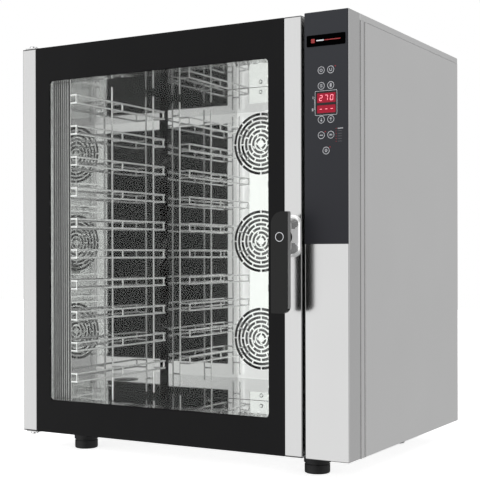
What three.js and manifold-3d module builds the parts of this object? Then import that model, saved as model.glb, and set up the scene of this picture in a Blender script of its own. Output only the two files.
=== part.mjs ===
// Ten-level combi steamer oven with a glazed side-hung door, a control column and three fans.
// Units are millimetres and +Z is up. The front faces -Y. The origin is on the floor, under the
// middle of the oven's overall box. Inside the "oven" group, Y = 0 is the front plane of the door
// and the control column, and Z = 0 is the underside of the casing.

import * as THREE from 'three';
import { mergeVertices } from 'three/addons/utils/BufferGeometryUtils.js';
import Module from 'manifold-3d';

const wasm = await Module();
wasm.setup();

// ---------------------------------------------------------------------------------------------
// Driving dimensions
// ---------------------------------------------------------------------------------------------

const casing = { width: 920, height: 985, depth: 652, sheet: 1.5, frontWrap: 24 };
const cover = { height: 15 };
const fit = { touch: 0.3, running: 0.6, swing: 1.0 };
// How far a cutting tool runs past the face it cuts, or one joined shape runs into the next.
const past = 1;

const column = { width: 107, doorGap: 7.5 };
const door = { thickness: 52, profileWidth: 44, topDrop: 4, gasketGap: 7 };
const windowBorder = { left: 44.4, right: 39.8, bottom: 83, top: 86.5 };
const glass = { outer: 5, inner: 4, innerInset: 3 };
const gasket = { mouthMargin: 5, width: 15 };

const cavityMargin = { left: 75, right: 78, bottom: 40, top: 60, rear: 111 };
const liner = { wall: 1, flange: 12 };
const insulation = { thickness: 25, rearGap: 3 };

const baffle = {
  depthFromBack: 64, sideGap: 15, endGap: 0.5, sheet: 1.5, standoffRadius: 5, standoffInset: 34,
  corner: 2,
};
const grille = { overlap: 2, slotRings: 3, slotsPerRing: 4, slotWidth: 9, hubRadius: 24, bridge: 9 };
const fan = {
  allowance: 60, centreRise: 7.5, radius: 86, bladeCount: 8, bladeDepth: 34, bladeRoot: 34,
  bladeInset: 1, bladeSheet: 2.5,
};
const fanHub = { radius: 16, length: 30, shaftRadius: 6, shaftReach: 42, backplate: 2, backGap: 10 };
const motor = { radius: 45, length: 82, plateSize: 110, plate: 4 };
const heater = {
  fanClearance: 14, tubeRadius: 4.25, legRadius: 3.75, backGap: 30, legSpacing: 30,
  plateWidth: 56, plateHeight: 22, plate: 2.5,
};
const injector = { pipeRadius: 4, nozzleRadius: 3, heaterClearance: 50, behindBaffle: 8 };

const rack = {
  levelPitch: 80, firstLevel: 95, topMargin: 60, wire: 5, frontInset: 7, postPitch: 198.5, posts: 3,
  wallGap: 13, railOffset: 48, railSpread: 20.6, endMargin: 12, overhang: 6,
};
const drain = {
  fromFront: 236, radius: 38, boreRadius: 26, plate: 1.5, spigotWall: 2, spigotReach: 6,
  holeRadius: 3.5, holeRing: 15.4, holes: 8,
};
const drainPipe = { radius: 14, riserRadius: 13, bore: 11.5, centreHeight: 19, reach: 35, boreDepth: 60 };
const lamp = { fromFront: 106, height: 400, radius: 28, glassProud: 6, bodyLength: 34, collar: 6 };

const foot = { radius: 31, height: 48, sideInset: 126, frontInset: 41, rearInset: 151, flare: 3 };

const overlay = { sideInset: 1, height: 509, topInset: 1, thickness: 1.7 };
const key = {
  radius: 8.3, thickness: 1.2, proud: 0.2, spacing: 23, rowPitch: 34, aboveDisplay: 12,
  belowDisplay: 10.5,
};
const display = { width: 51, height: 51.5, belowTop: 201.8, depth: 13 };
const board = {
  width: 86, height: 226, sheet: 1.6, behindFront: 20, belowTop: 217, standoffRadius: 4,
  standoffInset: 8,
};
const badge = { width: 93, height: 25, belowTop: 64.5, thickness: 0.9 };

const hinge = { fromSide: 20, fromFront: 20, pinRadius: 5, headRadius: 10, headHeight: 6, pinDepth: 20 };
const bracket = { width: 36, inwardShift: 3, sheet: 3, frontInset: 4, tab: 7, rearReach: 110 };

const lever = { width: 42, above: 55.5, below: 166.5, thickness: 14, frontReach: 64, corner: 5, bevel: 4 };
const leverHub = { radius: 17, pivotHeight: 490.5 };
const leverBase = { width: 40, below: 44.5, above: 49.5, depth: 34, corner: 19 };
const latch = {
  shaftRadius: 6.7, camReach: 13, camWidth: 8, camCorner: 3.8, camPlate: 10,
  holeRadius: 16, keeperSize: 44, keeperPlate: 4,
};

const vent = { radius: 22, bore: 19.5, fromRight: 95, belowCeiling: 45, reach: 35 };
const waterInlet = { radius: 13, thread: 10, fromRight: 160, height: 150, reach: 22, bore: 8 };
const cableGland = { radius: 14, thread: 10, fromRight: 80, height: 100, reach: 20, bore: 7 };
const louvre = { width: 120, height: 6, pitch: 30, rows: 4, fromSide: 150, bottom: 640 };
const roundSides = 16;
const smallSides = 8;
const tinySides = 6;
const keySides = 12;

// ---------------------------------------------------------------------------------------------
// Spans worked out from the driving dimensions: [low, high] along X, Y or Z
// ---------------------------------------------------------------------------------------------

const mid = ([low, high]) => (low + high) / 2;
const grow = ([low, high], by) => [low - by, high + by];
const length = ([low, high]) => high - low;

const bodyX = [-casing.width / 2, casing.width / 2];
const setback = door.thickness + door.gasketGap;
const bodyY = [setback, setback + casing.depth];
const panelTop = casing.height - cover.height - fit.touch;
const coverZ = [panelTop + fit.touch, casing.height];

const columnX = [bodyX[1] - column.width, bodyX[1]];
const doorX = [bodyX[0], columnX[0] - column.doorGap];
const doorZ = [fit.swing, casing.height - door.topDrop];
const profileLeftX = [doorX[0], doorX[0] + door.profileWidth];
const profileRightX = [doorX[1] - door.profileWidth, doorX[1]];
const glassX = [profileLeftX[1] + fit.touch, profileRightX[0] - fit.touch];
const windowX = [profileLeftX[1] + windowBorder.left, profileRightX[0] - windowBorder.right];
const windowZ = [doorZ[0] + windowBorder.bottom, doorZ[1] - windowBorder.top];

const cavityX = [bodyX[0] + cavityMargin.left, columnX[0] - cavityMargin.right];
const mouthY = bodyY[0] + casing.sheet + fit.touch;
const cavityY = [mouthY, bodyY[1] - cavityMargin.rear];
const cavityZ = [cavityMargin.bottom, casing.height - cavityMargin.top];
const linerX = grow(cavityX, liner.wall);
const linerZ = grow(cavityZ, liner.wall);

const baffleFront = cavityY[1] - baffle.depthFromBack;
const fanX = mid(cavityX);
const fanPitch = (length(cavityZ) - fan.allowance) / 3;
const grilleRadius = fan.radius + grille.overlap;
const heaterRadius = fan.radius + heater.fanClearance;
const fanHeights = [-1, 0, 1].map((step) => mid(cavityZ) + fan.centreRise + step * fanPitch);

const levelRoom = length(cavityZ) - rack.firstLevel - rack.topMargin;
const levelCount = 1 + Math.floor(levelRoom / rack.levelPitch);
const levelHeights = Array.from({ length: levelCount }, (_, i) =>
  cavityZ[0] + rack.firstLevel + i * rack.levelPitch);
const postDepths = Array.from({ length: rack.posts }, (_, i) =>
  bodyY[0] + rack.frontInset + i * rack.postPitch);

const drainAt = { x: fanX, y: bodyY[0] + drain.fromFront };
const ventAt = { x: cavityX[1] - vent.fromRight, z: cavityZ[1] - vent.belowCeiling };
const inletAt = { x: bodyX[1] - waterInlet.fromRight, z: waterInlet.height };
const glandAt = { x: bodyX[1] - cableGland.fromRight, z: cableGland.height };
const pivot = { x: mid(profileRightX), z: leverHub.pivotHeight };
const hingeAt = { x: doorX[0] + hinge.fromSide, y: hinge.fromFront };
const rearmost = bodyY[1] + Math.max(vent.reach, drainPipe.reach);

// ---------------------------------------------------------------------------------------------
// Shape helpers
// ---------------------------------------------------------------------------------------------

function toSolid(geometry) {
  const bare = new THREE.BufferGeometry();
  bare.setAttribute('position', geometry.getAttribute('position'));
  if (geometry.index) bare.setIndex(geometry.index);
  const welded = mergeVertices(bare, 1e-4);
  const vertProperties = new Float32Array(welded.getAttribute('position').array);
  const triVerts = new Uint32Array(welded.index.array);
  return new wasm.Manifold(new wasm.Mesh({ numProp: 3, vertProperties, triVerts }));
}

function toGeometry(solid) {
  const mesh = solid.getMesh();
  const geometry = new THREE.BufferGeometry();
  geometry.setAttribute('position', new THREE.BufferAttribute(mesh.vertProperties, 3));
  geometry.setIndex(new THREE.BufferAttribute(mesh.triVerts, 1));
  return geometry;
}

const joined = (first, ...others) => others.reduce((sum, next) => sum.add(next), first);
const cut = (first, ...tools) => tools.reduce((rest, next) => rest.subtract(next), first);

function block(x, y, z) {
  const shape = new THREE.BoxGeometry(length(x), length(y), length(z));
  return toSolid(shape.translate(mid(x), mid(y), mid(z)));
}

function rodX(radius, x, y, z, sides = smallSides) {
  const shape = new THREE.CylinderGeometry(radius, radius, length(x), sides).rotateZ(Math.PI / 2);
  return toSolid(shape.translate(mid(x), y, z));
}

function rodY(radius, x, y, z, sides = smallSides) {
  const shape = new THREE.CylinderGeometry(radius, radius, length(y), sides);
  return toSolid(shape.translate(x, mid(y), z));
}

function rodZ(radius, x, y, z, sides = smallSides) {
  const shape = new THREE.CylinderGeometry(radius, radius, length(z), sides).rotateX(Math.PI / 2);
  return toSolid(shape.translate(x, y, mid(z)));
}

// A flat outline in X and Z, given thickness along Y. Bevels stay inside the outline's depth.
function plateY(outline, y, bevel = 0, curveSegments = 4) {
  const depth = length(y) - 2 * bevel;
  const bevels = { bevelEnabled: bevel > 0, bevelThickness: bevel, bevelSize: bevel, bevelSegments: 1 };
  const settings = { depth, curveSegments, bevelOffset: -bevel, ...bevels };
  return toSolid(new THREE.ExtrudeGeometry(outline, settings).rotateX(Math.PI / 2).translate(0,
    y[1] - bevel, 0));
}

function roundedOutline(x, z, radius) {
  const outline = new THREE.Shape();
  outline.moveTo(x[0] + radius, z[0]);
  outline.absarc(x[1] - radius, z[0] + radius, radius, -Math.PI / 2, 0);
  outline.absarc(x[1] - radius, z[1] - radius, radius, 0, Math.PI / 2);
  outline.absarc(x[0] + radius, z[1] - radius, radius, Math.PI / 2, Math.PI);
  outline.absarc(x[0] + radius, z[0] + radius, radius, Math.PI, 1.5 * Math.PI);
  return outline;
}

// A curved slot around (x, z) between two angles, in the plane of the baffle.
function arcSlot(x, z, radius, width, from, to) {
  const slot = new THREE.Path();
  slot.absarc(x, z, radius + width / 2, from, to, false);
  slot.absarc(x, z, radius - width / 2, to, from, true);
  slot.closePath();
  return slot;
}

// A sheet-metal box with one wall left out, named by its axis and direction.
function openBox(x, y, z, wall, open) {
  const spans = { x, y, z };
  const hollow = { x: grow(x, -wall), y: grow(y, -wall), z: grow(z, -wall) };
  const end = open.end === 'high' ? 1 : 0;
  hollow[open.axis][end] = spans[open.axis][end] + (end ? past : -past);
  return cut(block(x, y, z), block(hollow.x, hollow.y, hollow.z));
}

// ---------------------------------------------------------------------------------------------
// Finishes
// ---------------------------------------------------------------------------------------------

const finishes = {
  steel: { color: 0xb9bbbd, roughness: 0.35, metalness: 1 },
  mirrorSteel: { color: 0xd4d5d6, roughness: 0.12, metalness: 1 },
  chrome: { color: 0xd9dadb, roughness: 0.08, metalness: 1 },
  galvanised: { color: 0x9da1a4, roughness: 0.5, metalness: 1 },
  darkGlass: { color: 0x1c1c1d, roughness: 0.05, metalness: 0 },
  clearGlass: { color: 0xdfe6e6, roughness: 0.03, metalness: 0 },
  overlayFilm: { color: 0x34363b, roughness: 0.4, metalness: 0 },
  keyFilm: { color: 0x3c3e43, roughness: 0.45, metalness: 0 },
  displayBlack: { color: 0x16090a, roughness: 0.15, metalness: 0 },
  badgeGloss: { color: 0x101012, roughness: 0.2, metalness: 0 },
  circuitGreen: { color: 0x1e5a34, roughness: 0.5, metalness: 0 },
  blackPlastic: { color: 0x2b2b2c, roughness: 0.4, metalness: 0 },
  rubber: { color: 0x1f1f20, roughness: 0.75, metalness: 0 },
  gasketRubber: { color: 0x2d2c2b, roughness: 0.8, metalness: 0 },
  aluminium: { color: 0xaab0b3, roughness: 0.4, metalness: 1 },
  insulationWool: { color: 0xcfc9a8, roughness: 0.95, metalness: 0 },
  brass: { color: 0xb08d4a, roughness: 0.35, metalness: 1 },
  lampGlass: { color: 0xf2efe2, roughness: 0.2, metalness: 0 },
};

const oven = new THREE.Group();

function place(name, solid, finish) {
  const mesh = new THREE.Mesh(toGeometry(solid), new THREE.MeshStandardMaterial(finishes[finish]));
  mesh.name = name;
  oven.add(mesh);
}

// ---------------------------------------------------------------------------------------------
// Feet and casing
// ---------------------------------------------------------------------------------------------

function footSolid(x, y) {
  const top = -fit.touch;
  const outline = [
    [0, -foot.height], [foot.radius - foot.flare, -foot.height], [foot.radius, -foot.height + foot.flare],
    [foot.radius, top - foot.flare], [foot.radius - foot.flare, top], [0, top],
  ];
  const profile = outline.map(([radius, height]) => new THREE.Vector2(radius, height));
  return toSolid(new THREE.LatheGeometry(profile, roundSides).rotateX(Math.PI / 2).translate(x, y, 0));
}

function addFeet() {
  const across = { left: bodyX[0] + foot.sideInset, right: bodyX[1] - foot.sideInset };
  const along = { front: bodyY[0] + foot.frontInset, rear: bodyY[1] - foot.rearInset };
  for (const [end, y] of Object.entries(along)) {
    for (const [side, x] of Object.entries(across)) place(`foot_${end}_${side}`, footSolid(x, y), 'rubber');
  }
}

function frontFrame() {
  const z = [0, panelTop];
  const plate = block(bodyX, [bodyY[0], bodyY[0] + casing.sheet], z);
  const flangeY = [bodyY[0], bodyY[0] + casing.frontWrap];
  const left = block([bodyX[0], bodyX[0] + casing.sheet], flangeY, z);
  const right = block([bodyX[1] - casing.sheet, bodyX[1]], flangeY, z);
  const mouth = block(cavityX, grow([bodyY[0], mouthY], past), cavityZ);
  const latchHole = rodY(latch.holeRadius, pivot.x, grow([bodyY[0], mouthY], past), pivot.z, roundSides);
  return { solid: cut(joined(plate, left, right), mouth, latchHole), sidesFrom: flangeY[1] + fit.touch };
}

function rearCover() {
  const x = grow(bodyX, -casing.sheet - fit.touch);
  const y = [bodyY[1] - casing.sheet, bodyY[1]];
  const through = grow(y, past);
  const slots = [];
  for (const side of [-1, 1]) {
    const centre = side * (casing.width / 2 - louvre.fromSide);
    for (let row = 0; row < louvre.rows; row += 1) {
      const z = louvre.bottom + row * louvre.pitch;
      slots.push(block([centre - louvre.width / 2, centre + louvre.width / 2], through,
        [z, z + louvre.height]));
    }
  }
  const holes = [
    rodY(vent.radius + fit.running, ventAt.x, through, ventAt.z, roundSides),
    rodY(drainPipe.radius + fit.running, drainAt.x, through, drainPipe.centreHeight, roundSides),
    rodY(waterInlet.thread + fit.running, inletAt.x, through, inletAt.z),
    rodY(cableGland.thread + fit.running, glandAt.x, through, glandAt.z),
  ];
  return cut(block(x, y, [casing.sheet + fit.touch, panelTop]), ...slots, ...holes);
}

function addCasing() {
  const inner = grow(bodyX, -casing.sheet - fit.touch);
  const frame = frontFrame();
  const sideY = [frame.sidesFrom, bodyY[1]];
  const panelZ = [0, panelTop];
  place('front_frame', frame.solid, 'steel');
  place('side_panel_left', block([bodyX[0], bodyX[0] + casing.sheet], sideY, panelZ), 'steel');
  place('side_panel_right', block([bodyX[1] - casing.sheet, bodyX[1]], sideY, panelZ), 'steel');
  place('rear_cover', rearCover(), 'steel');
  place('top_cover', openBox(bodyX, bodyY, coverZ, casing.sheet, { axis: 'z', end: 'low' }), 'steel');
  const pan = block(inner, [mouthY, bodyY[1] - casing.sheet - fit.touch], [0, casing.sheet]);
  place('base_pan', pan, 'galvanised');
}

// ---------------------------------------------------------------------------------------------
// Control column
// ---------------------------------------------------------------------------------------------

const filmFront = -fit.touch - overlay.thickness;
const keyColumns = [mid(columnX) - key.spacing / 2, mid(columnX) + key.spacing / 2];
const displayX = grow([mid(columnX), mid(columnX)], display.width / 2);
const displayMiddle = casing.height - display.belowTop;
const displayZ = grow([displayMiddle, displayMiddle], display.height / 2);
const upperRow = displayZ[1] + key.aboveDisplay;
const lowerRow = displayZ[0] - key.belowDisplay;
const keyPlaces = {
  key_power: [keyColumns[0], upperRow + key.rowPitch],
  key_steam: [keyColumns[1], upperRow + key.rowPitch],
  key_program: [keyColumns[0], upperRow],
  key_fan: [keyColumns[1], upperRow],
  key_down: [keyColumns[0], lowerRow],
  key_up: [keyColumns[1], lowerRow],
  key_timer: [keyColumns[0], lowerRow - key.rowPitch],
  key_phase: [keyColumns[1], lowerRow - key.rowPitch],
  key_light: [mid(columnX), lowerRow - 2 * key.rowPitch],
};

function controlColumn() {
  const shell = openBox(columnX, [0, bodyY[0] - fit.touch], [0, casing.height], casing.sheet,
    { axis: 'y', end: 'high' });
  const cutout = block(grow(displayX, fit.running), grow([0, casing.sheet], past),
    grow(displayZ, fit.running));
  return cut(shell, cutout);
}

function controlOverlay() {
  const y = [filmFront, -fit.touch];
  const top = casing.height - overlay.topInset;
  const film = block(grow(columnX, -overlay.sideInset), y, [top - overlay.height, top]);
  const cutout = block(grow(displayX, fit.touch), grow(y, past), grow(displayZ, fit.touch));
  const holes = Object.values(keyPlaces).map(([x, z]) =>
    rodY(key.radius + fit.touch, x, grow(y, past), z, keySides));
  return cut(film, cutout, ...holes);
}

function controlBoard() {
  const y = [board.behindFront, board.behindFront + board.sheet];
  const x = grow([mid(columnX), mid(columnX)], board.width / 2);
  const middle = casing.height - board.belowTop;
  const z = grow([middle, middle], board.height / 2);
  const posts = [];
  for (const px of grow(x, -board.standoffInset)) {
    for (const pz of grow(z, -board.standoffInset)) {
      posts.push(rodY(board.standoffRadius, px, [casing.sheet + fit.touch, y[1]], pz, tinySides));
    }
  }
  return joined(block(x, y, z), ...posts);
}

function addControls() {
  place('control_column', controlColumn(), 'steel');
  place('control_overlay', controlOverlay(), 'overlayFilm');
  place('display_module', block(displayX, [filmFront + fit.touch, filmFront + display.depth], displayZ),
    'displayBlack');
  place('control_board', controlBoard(), 'circuitGreen');
  const keyFront = filmFront - key.proud;
  for (const [name, [x, z]] of Object.entries(keyPlaces)) {
    place(name, rodY(key.radius, x, [keyFront, keyFront + key.thickness], z, keySides), 'keyFilm');
  }
  const badgeX = grow([mid(columnX), mid(columnX)], badge.width / 2);
  const badgeMiddle = casing.height - badge.belowTop;
  const badgeZ = grow([badgeMiddle, badgeMiddle], badge.height / 2);
  const badgeBack = filmFront - fit.touch;
  place('badge_plate', block(badgeX, [badgeBack - badge.thickness, badgeBack], badgeZ), 'badgeGloss');
}

// ---------------------------------------------------------------------------------------------
// Cavity
// ---------------------------------------------------------------------------------------------

function cavityLiner() {
  const shell = openBox(linerX, [cavityY[0], cavityY[1] + liner.wall], linerZ, liner.wall,
    { axis: 'y', end: 'low' });
  const flangeY = [cavityY[0], cavityY[0] + casing.sheet];
  const flange = block(grow(linerX, liner.flange), flangeY, grow(linerZ, liner.flange));
  const mouth = block(cavityX, [cavityY[0] - past, cavityY[1]], cavityZ);
  const backWall = grow([cavityY[1], cavityY[1] + liner.wall], past);
  const floorWall = grow([linerZ[0], cavityZ[0]], past);
  const rightWall = grow([cavityX[1], linerX[1]], past);
  const shaftHoles = fanHeights.map((z) => rodY(fanHub.shaftRadius + fit.swing, fanX, backWall, z));
  const holes = [
    ...shaftHoles,
    rodY(vent.bore, ventAt.x, backWall, ventAt.z, roundSides),
    rodZ(drain.boreRadius + fit.running, drainAt.x, drainAt.y, floorWall, roundSides),
    rodX(lamp.radius - lamp.collar + fit.running, rightWall, bodyY[0] + lamp.fromFront, lamp.height,
      roundSides),
  ];
  return cut(joined(shell, flange), mouth, ...holes);
}

function insulationWrap() {
  const start = cavityY[0] + casing.sheet + fit.touch;
  const y = [start, cavityY[1] - insulation.rearGap];
  const inner = grow(linerX, fit.touch);
  const top = linerZ[1] + fit.touch;
  const outer = block(grow(inner, insulation.thickness), y, [linerZ[0], top + insulation.thickness]);
  const lampPass = rodX(lamp.radius + fit.swing, [mid(cavityX), bodyX[1]], bodyY[0] + lamp.fromFront,
    lamp.height);
  return cut(outer, block(inner, grow(y, past), [linerZ[0] - past, top]), lampPass);
}

function fanBaffle() {
  const x = grow(cavityX, -baffle.sideGap);
  const z = grow(cavityZ, -baffle.endGap);
  const outline = roundedOutline(x, z, baffle.corner);
  const slotBand = (grilleRadius - grille.hubRadius) / grille.slotRings;
  for (const height of fanHeights) {
    for (let ring = 0; ring < grille.slotRings; ring += 1) {
      const radius = grilleRadius - slotBand * (ring + 0.5);
      const gap = grille.bridge / radius;
      const sector = (2 * Math.PI) / grille.slotsPerRing;
      for (let i = 0; i < grille.slotsPerRing; i += 1) {
        const from = sector * (i + ring / 2);
        outline.holes.push(arcSlot(fanX, height, radius, grille.slotWidth, from + gap / 2,
          from + sector - gap / 2));
      }
    }
  }
  const plate = plateY(outline, [baffleFront, baffleFront + baffle.sheet], 0, 2);
  const legY = [baffleFront + baffle.sheet / 2, cavityY[1] - fit.touch];
  const legs = [];
  for (const legX of grow(x, -baffle.standoffInset)) {
    for (const legZ of grow(z, -baffle.standoffInset)) legs.push(rodY(baffle.standoffRadius, legX, legY,
      legZ, tinySides));
  }
  return joined(plate, ...legs);
}

// One tray support: posts standing off the wall, and a pair of rails at each level on C brackets.
function trayRack(side) {
  const inward = side === 'left' ? 1 : -1;
  const wall = side === 'left' ? cavityX[0] : cavityX[1];
  const acrossX = (from, to) => [wall + inward * from, wall + inward * to].sort((a, b) => a - b);
  const half = rack.wire / 2;
  const strip = (offset) => acrossX(offset - half, offset + half);
  const postZ = grow(cavityZ, -rack.endMargin);
  const railY = [postDepths[0] - half, postDepths[rack.posts - 1] + rack.overhang];
  const pieces = [];
  for (const depth of postDepths) {
    const wireY = grow([depth, depth], half);
    pieces.push(block(strip(rack.wallGap), wireY, postZ));
    for (const pegZ of grow(postZ, -rack.levelPitch / 2)) {
      pieces.push(block(acrossX(fit.touch, rack.wallGap), wireY, grow([pegZ, pegZ], half)));
    }
    for (const height of levelHeights) {
      const outer = grow([height, height], rack.railSpread / 2 + half);
      pieces.push(block(strip(rack.railOffset), wireY, outer));
      for (const end of [-1, 1]) {
        const stub = height + (end * rack.railSpread) / 2;
        pieces.push(block(acrossX(rack.wallGap, rack.railOffset), wireY, grow([stub, stub], half)));
      }
    }
  }
  for (const height of levelHeights) {
    for (const end of [-1, 1]) {
      const rail = height + (end * rack.railSpread) / 2;
      pieces.push(block(strip(rack.railOffset), railY, grow([rail, rail], half)));
    }
  }
  return joined(...pieces);
}

function drainStrainer() {
  const top = cavityZ[0] + fit.touch + drain.plate;
  const plateZ = [top - drain.plate, top];
  const plate = rodZ(drain.radius, drainAt.x, drainAt.y, plateZ, roundSides);
  const spigotZ = [cavityZ[0] - liner.wall - drain.spigotReach, plateZ[0] + drain.plate / 2];
  const spigot = rodZ(drain.boreRadius, drainAt.x, drainAt.y, spigotZ, roundSides);
  const bore = rodZ(drain.boreRadius - drain.spigotWall, drainAt.x, drainAt.y,
    [spigotZ[0] - past, plateZ[0]], roundSides);
  const holes = [];
  for (let i = 0; i < drain.holes; i += 1) {
    const angle = (2 * Math.PI * i) / drain.holes;
    const x = drainAt.x + drain.holeRing * Math.cos(angle);
    const y = drainAt.y + drain.holeRing * Math.sin(angle);
    holes.push(rodZ(drain.holeRadius, x, y, grow(plateZ, past), tinySides));
  }
  return cut(joined(plate, spigot), bore, ...holes);
}

function cavityLamp() {
  const y = bodyY[0] + lamp.fromFront;
  const lens = rodX(lamp.radius, [cavityX[1] - lamp.glassProud, cavityX[1] - fit.touch], y, lamp.height,
    roundSides);
  const holderX = [cavityX[1] - lamp.glassProud / 2, linerX[1] + lamp.bodyLength];
  const holder = rodX(lamp.radius - lamp.collar, holderX, y, lamp.height, roundSides);
  return joined(lens, holder);
}

function addCavity() {
  place('cavity_liner', cavityLiner(), 'mirrorSteel');
  place('insulation_wrap', insulationWrap(), 'insulationWool');
  place('fan_baffle', fanBaffle(), 'mirrorSteel');
  place('rack_left', trayRack('left'), 'chrome');
  place('rack_right', trayRack('right'), 'chrome');
  place('drain_strainer', drainStrainer(), 'steel');
  place('cavity_lamp', cavityLamp(), 'lampGlass');
}

// ---------------------------------------------------------------------------------------------
// Fans, heaters and steam water
// ---------------------------------------------------------------------------------------------

const impellerBack = cavityY[1] - fanHub.backGap;
const motorFront = cavityY[1] + liner.wall + fit.touch;

function impeller(z) {
  const plate = rodY(fan.radius, fanX, [impellerBack - fanHub.backplate, impellerBack], z, roundSides);
  const hub = rodY(fanHub.radius, fanX, [impellerBack - fanHub.length, impellerBack], z);
  const shaft = rodY(fanHub.shaftRadius, fanX, [impellerBack - past, impellerBack + fanHub.shaftReach], z);
  const bladeY = [impellerBack - fan.bladeDepth, impellerBack - fanHub.backplate / 2];
  const blades = [];
  for (let i = 0; i < fan.bladeCount; i += 1) {
    const radial = new THREE.BoxGeometry(fan.radius - fan.bladeRoot, length(bladeY), fan.bladeSheet);
    radial.translate((fan.radius + fan.bladeRoot) / 2 - fan.bladeInset, 0, 0);
    radial.rotateY((2 * Math.PI * i) / fan.bladeCount);
    blades.push(toSolid(radial.translate(fanX, mid(bladeY), z)));
  }
  return joined(plate, hub, shaft, ...blades);
}

function fanMotor(z) {
  const half = motor.plateSize / 2;
  const plate = block([fanX - half, fanX + half], [motorFront, motorFront + motor.plate],
    [z - half, z + half]);
  const can = rodY(motor.radius, fanX, [motorFront, motorFront + motor.length], z, roundSides);
  const boreY = [motorFront - past, impellerBack + fanHub.shaftReach + fit.swing];
  return cut(joined(plate, can), rodY(fanHub.shaftRadius + fit.running, fanX, boreY, z));
}

function ringHeater(z) {
  const ringY = cavityY[1] - heater.backGap;
  const ring = new THREE.TorusGeometry(heaterRadius, heater.tubeRadius, tinySides, roundSides);
  ring.rotateX(Math.PI / 2).rotateY(Math.PI / roundSides);
  const plateY1 = cavityY[1] - fit.touch;
  const legZ = z + heaterRadius * Math.cos(heater.legSpacing / 2 / heaterRadius);
  const legs = [-1, 1].map((side) =>
    rodY(heater.legRadius, fanX + (side * heater.legSpacing) / 2, [ringY, plateY1 - heater.plate / 2],
      legZ, tinySides));
  const plateX = [fanX - heater.plateWidth / 2, fanX + heater.plateWidth / 2];
  const plateZ = [legZ - heater.plateHeight / 2, legZ + heater.plateHeight / 2];
  const plate = block(plateX, [plateY1 - heater.plate, plateY1], plateZ);
  return joined(toSolid(ring.translate(fanX, ringY, z)), ...legs, plate);
}

function waterInjector() {
  const y = baffleFront + injector.behindBaffle;
  const x = fanX + heaterRadius + injector.heaterClearance;
  const pipe = rodZ(injector.pipeRadius, x, y, [fanHeights[0] - fanHub.radius, cavityZ[1] - fit.touch]);
  const nozzles = fanHeights.map((z) =>
    rodX(injector.nozzleRadius, [fanX + fanHub.radius / 2, x], y, z, tinySides));
  return joined(pipe, ...nozzles);
}

function addAirSystem() {
  const names = ['lower', 'middle', 'upper'];
  fanHeights.forEach((z, i) => {
    place(`fan_impeller_${names[i]}`, impeller(z), 'mirrorSteel');
    place(`fan_motor_${names[i]}`, fanMotor(z), 'galvanised');
    place(`ring_heater_${names[i]}`, ringHeater(z), 'galvanised');
  });
  place('water_injector', waterInjector(), 'steel');
}

// ---------------------------------------------------------------------------------------------
// Door
// ---------------------------------------------------------------------------------------------

const doorY = [0, door.thickness];

// A hollow steel profile. The hinge side has a solid block at each end with a bore for its pin.
function hingeProfile() {
  const inside = block(grow(profileLeftX, -casing.sheet), grow(doorY, -casing.sheet),
    grow(doorZ, -hinge.pinDepth));
  const pinBore = rodZ(hinge.pinRadius + fit.running, hingeAt.x, hingeAt.y, grow(doorZ, past));
  return cut(block(profileLeftX, doorY, doorZ), inside, pinBore);
}

function latchProfile() {
  const inside = block(grow(profileRightX, -casing.sheet), grow(doorY, -casing.sheet), grow(doorZ, past));
  const shaftBore = rodY(latch.shaftRadius + fit.swing, pivot.x, grow(doorY, past), pivot.z);
  return cut(block(profileRightX, doorY, doorZ), inside, shaftBore);
}

const frameY = [glass.outer + fit.touch, door.thickness];

function doorFrame() {
  const ring = cut(block(glassX, frameY, doorZ), block(windowX, grow(frameY, past), windowZ));
  const channelOuter = block(grow(glassX, -casing.sheet), [frameY[0] - past, frameY[1] - casing.sheet],
    grow(doorZ, -casing.sheet));
  const channelInner = block(grow(windowX, casing.sheet), grow(frameY, 2 * past),
    grow(windowZ, casing.sheet));
  return cut(ring, cut(channelOuter, channelInner));
}

function doorGasket() {
  const y = [door.thickness + fit.touch, bodyY[0] - fit.touch];
  const innerX = grow(cavityX, gasket.mouthMargin);
  const innerZ = grow(cavityZ, gasket.mouthMargin);
  const outer = block(grow(innerX, gasket.width), y, grow(innerZ, gasket.width));
  return cut(outer, block(innerX, grow(y, past), innerZ));
}

function addDoor() {
  place('door_profile_left', hingeProfile(), 'steel');
  place('door_profile_right', latchProfile(), 'steel');
  place('outer_glass', block(glassX, [0, glass.outer], doorZ), 'darkGlass');
  const innerY = [door.thickness - glass.innerInset - glass.inner, door.thickness - glass.innerInset];
  place('inner_glass', block(grow(windowX, -fit.touch), innerY, grow(windowZ, -fit.touch)), 'clearGlass');
  place('door_frame', doorFrame(), 'steel');
  place('door_gasket', doorGasket(), 'gasketRubber');
}

// ---------------------------------------------------------------------------------------------
// Hinges
// ---------------------------------------------------------------------------------------------

function bracketX() {
  return grow([hingeAt.x + bracket.inwardShift, hingeAt.x + bracket.inwardShift], bracket.width / 2);
}

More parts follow.
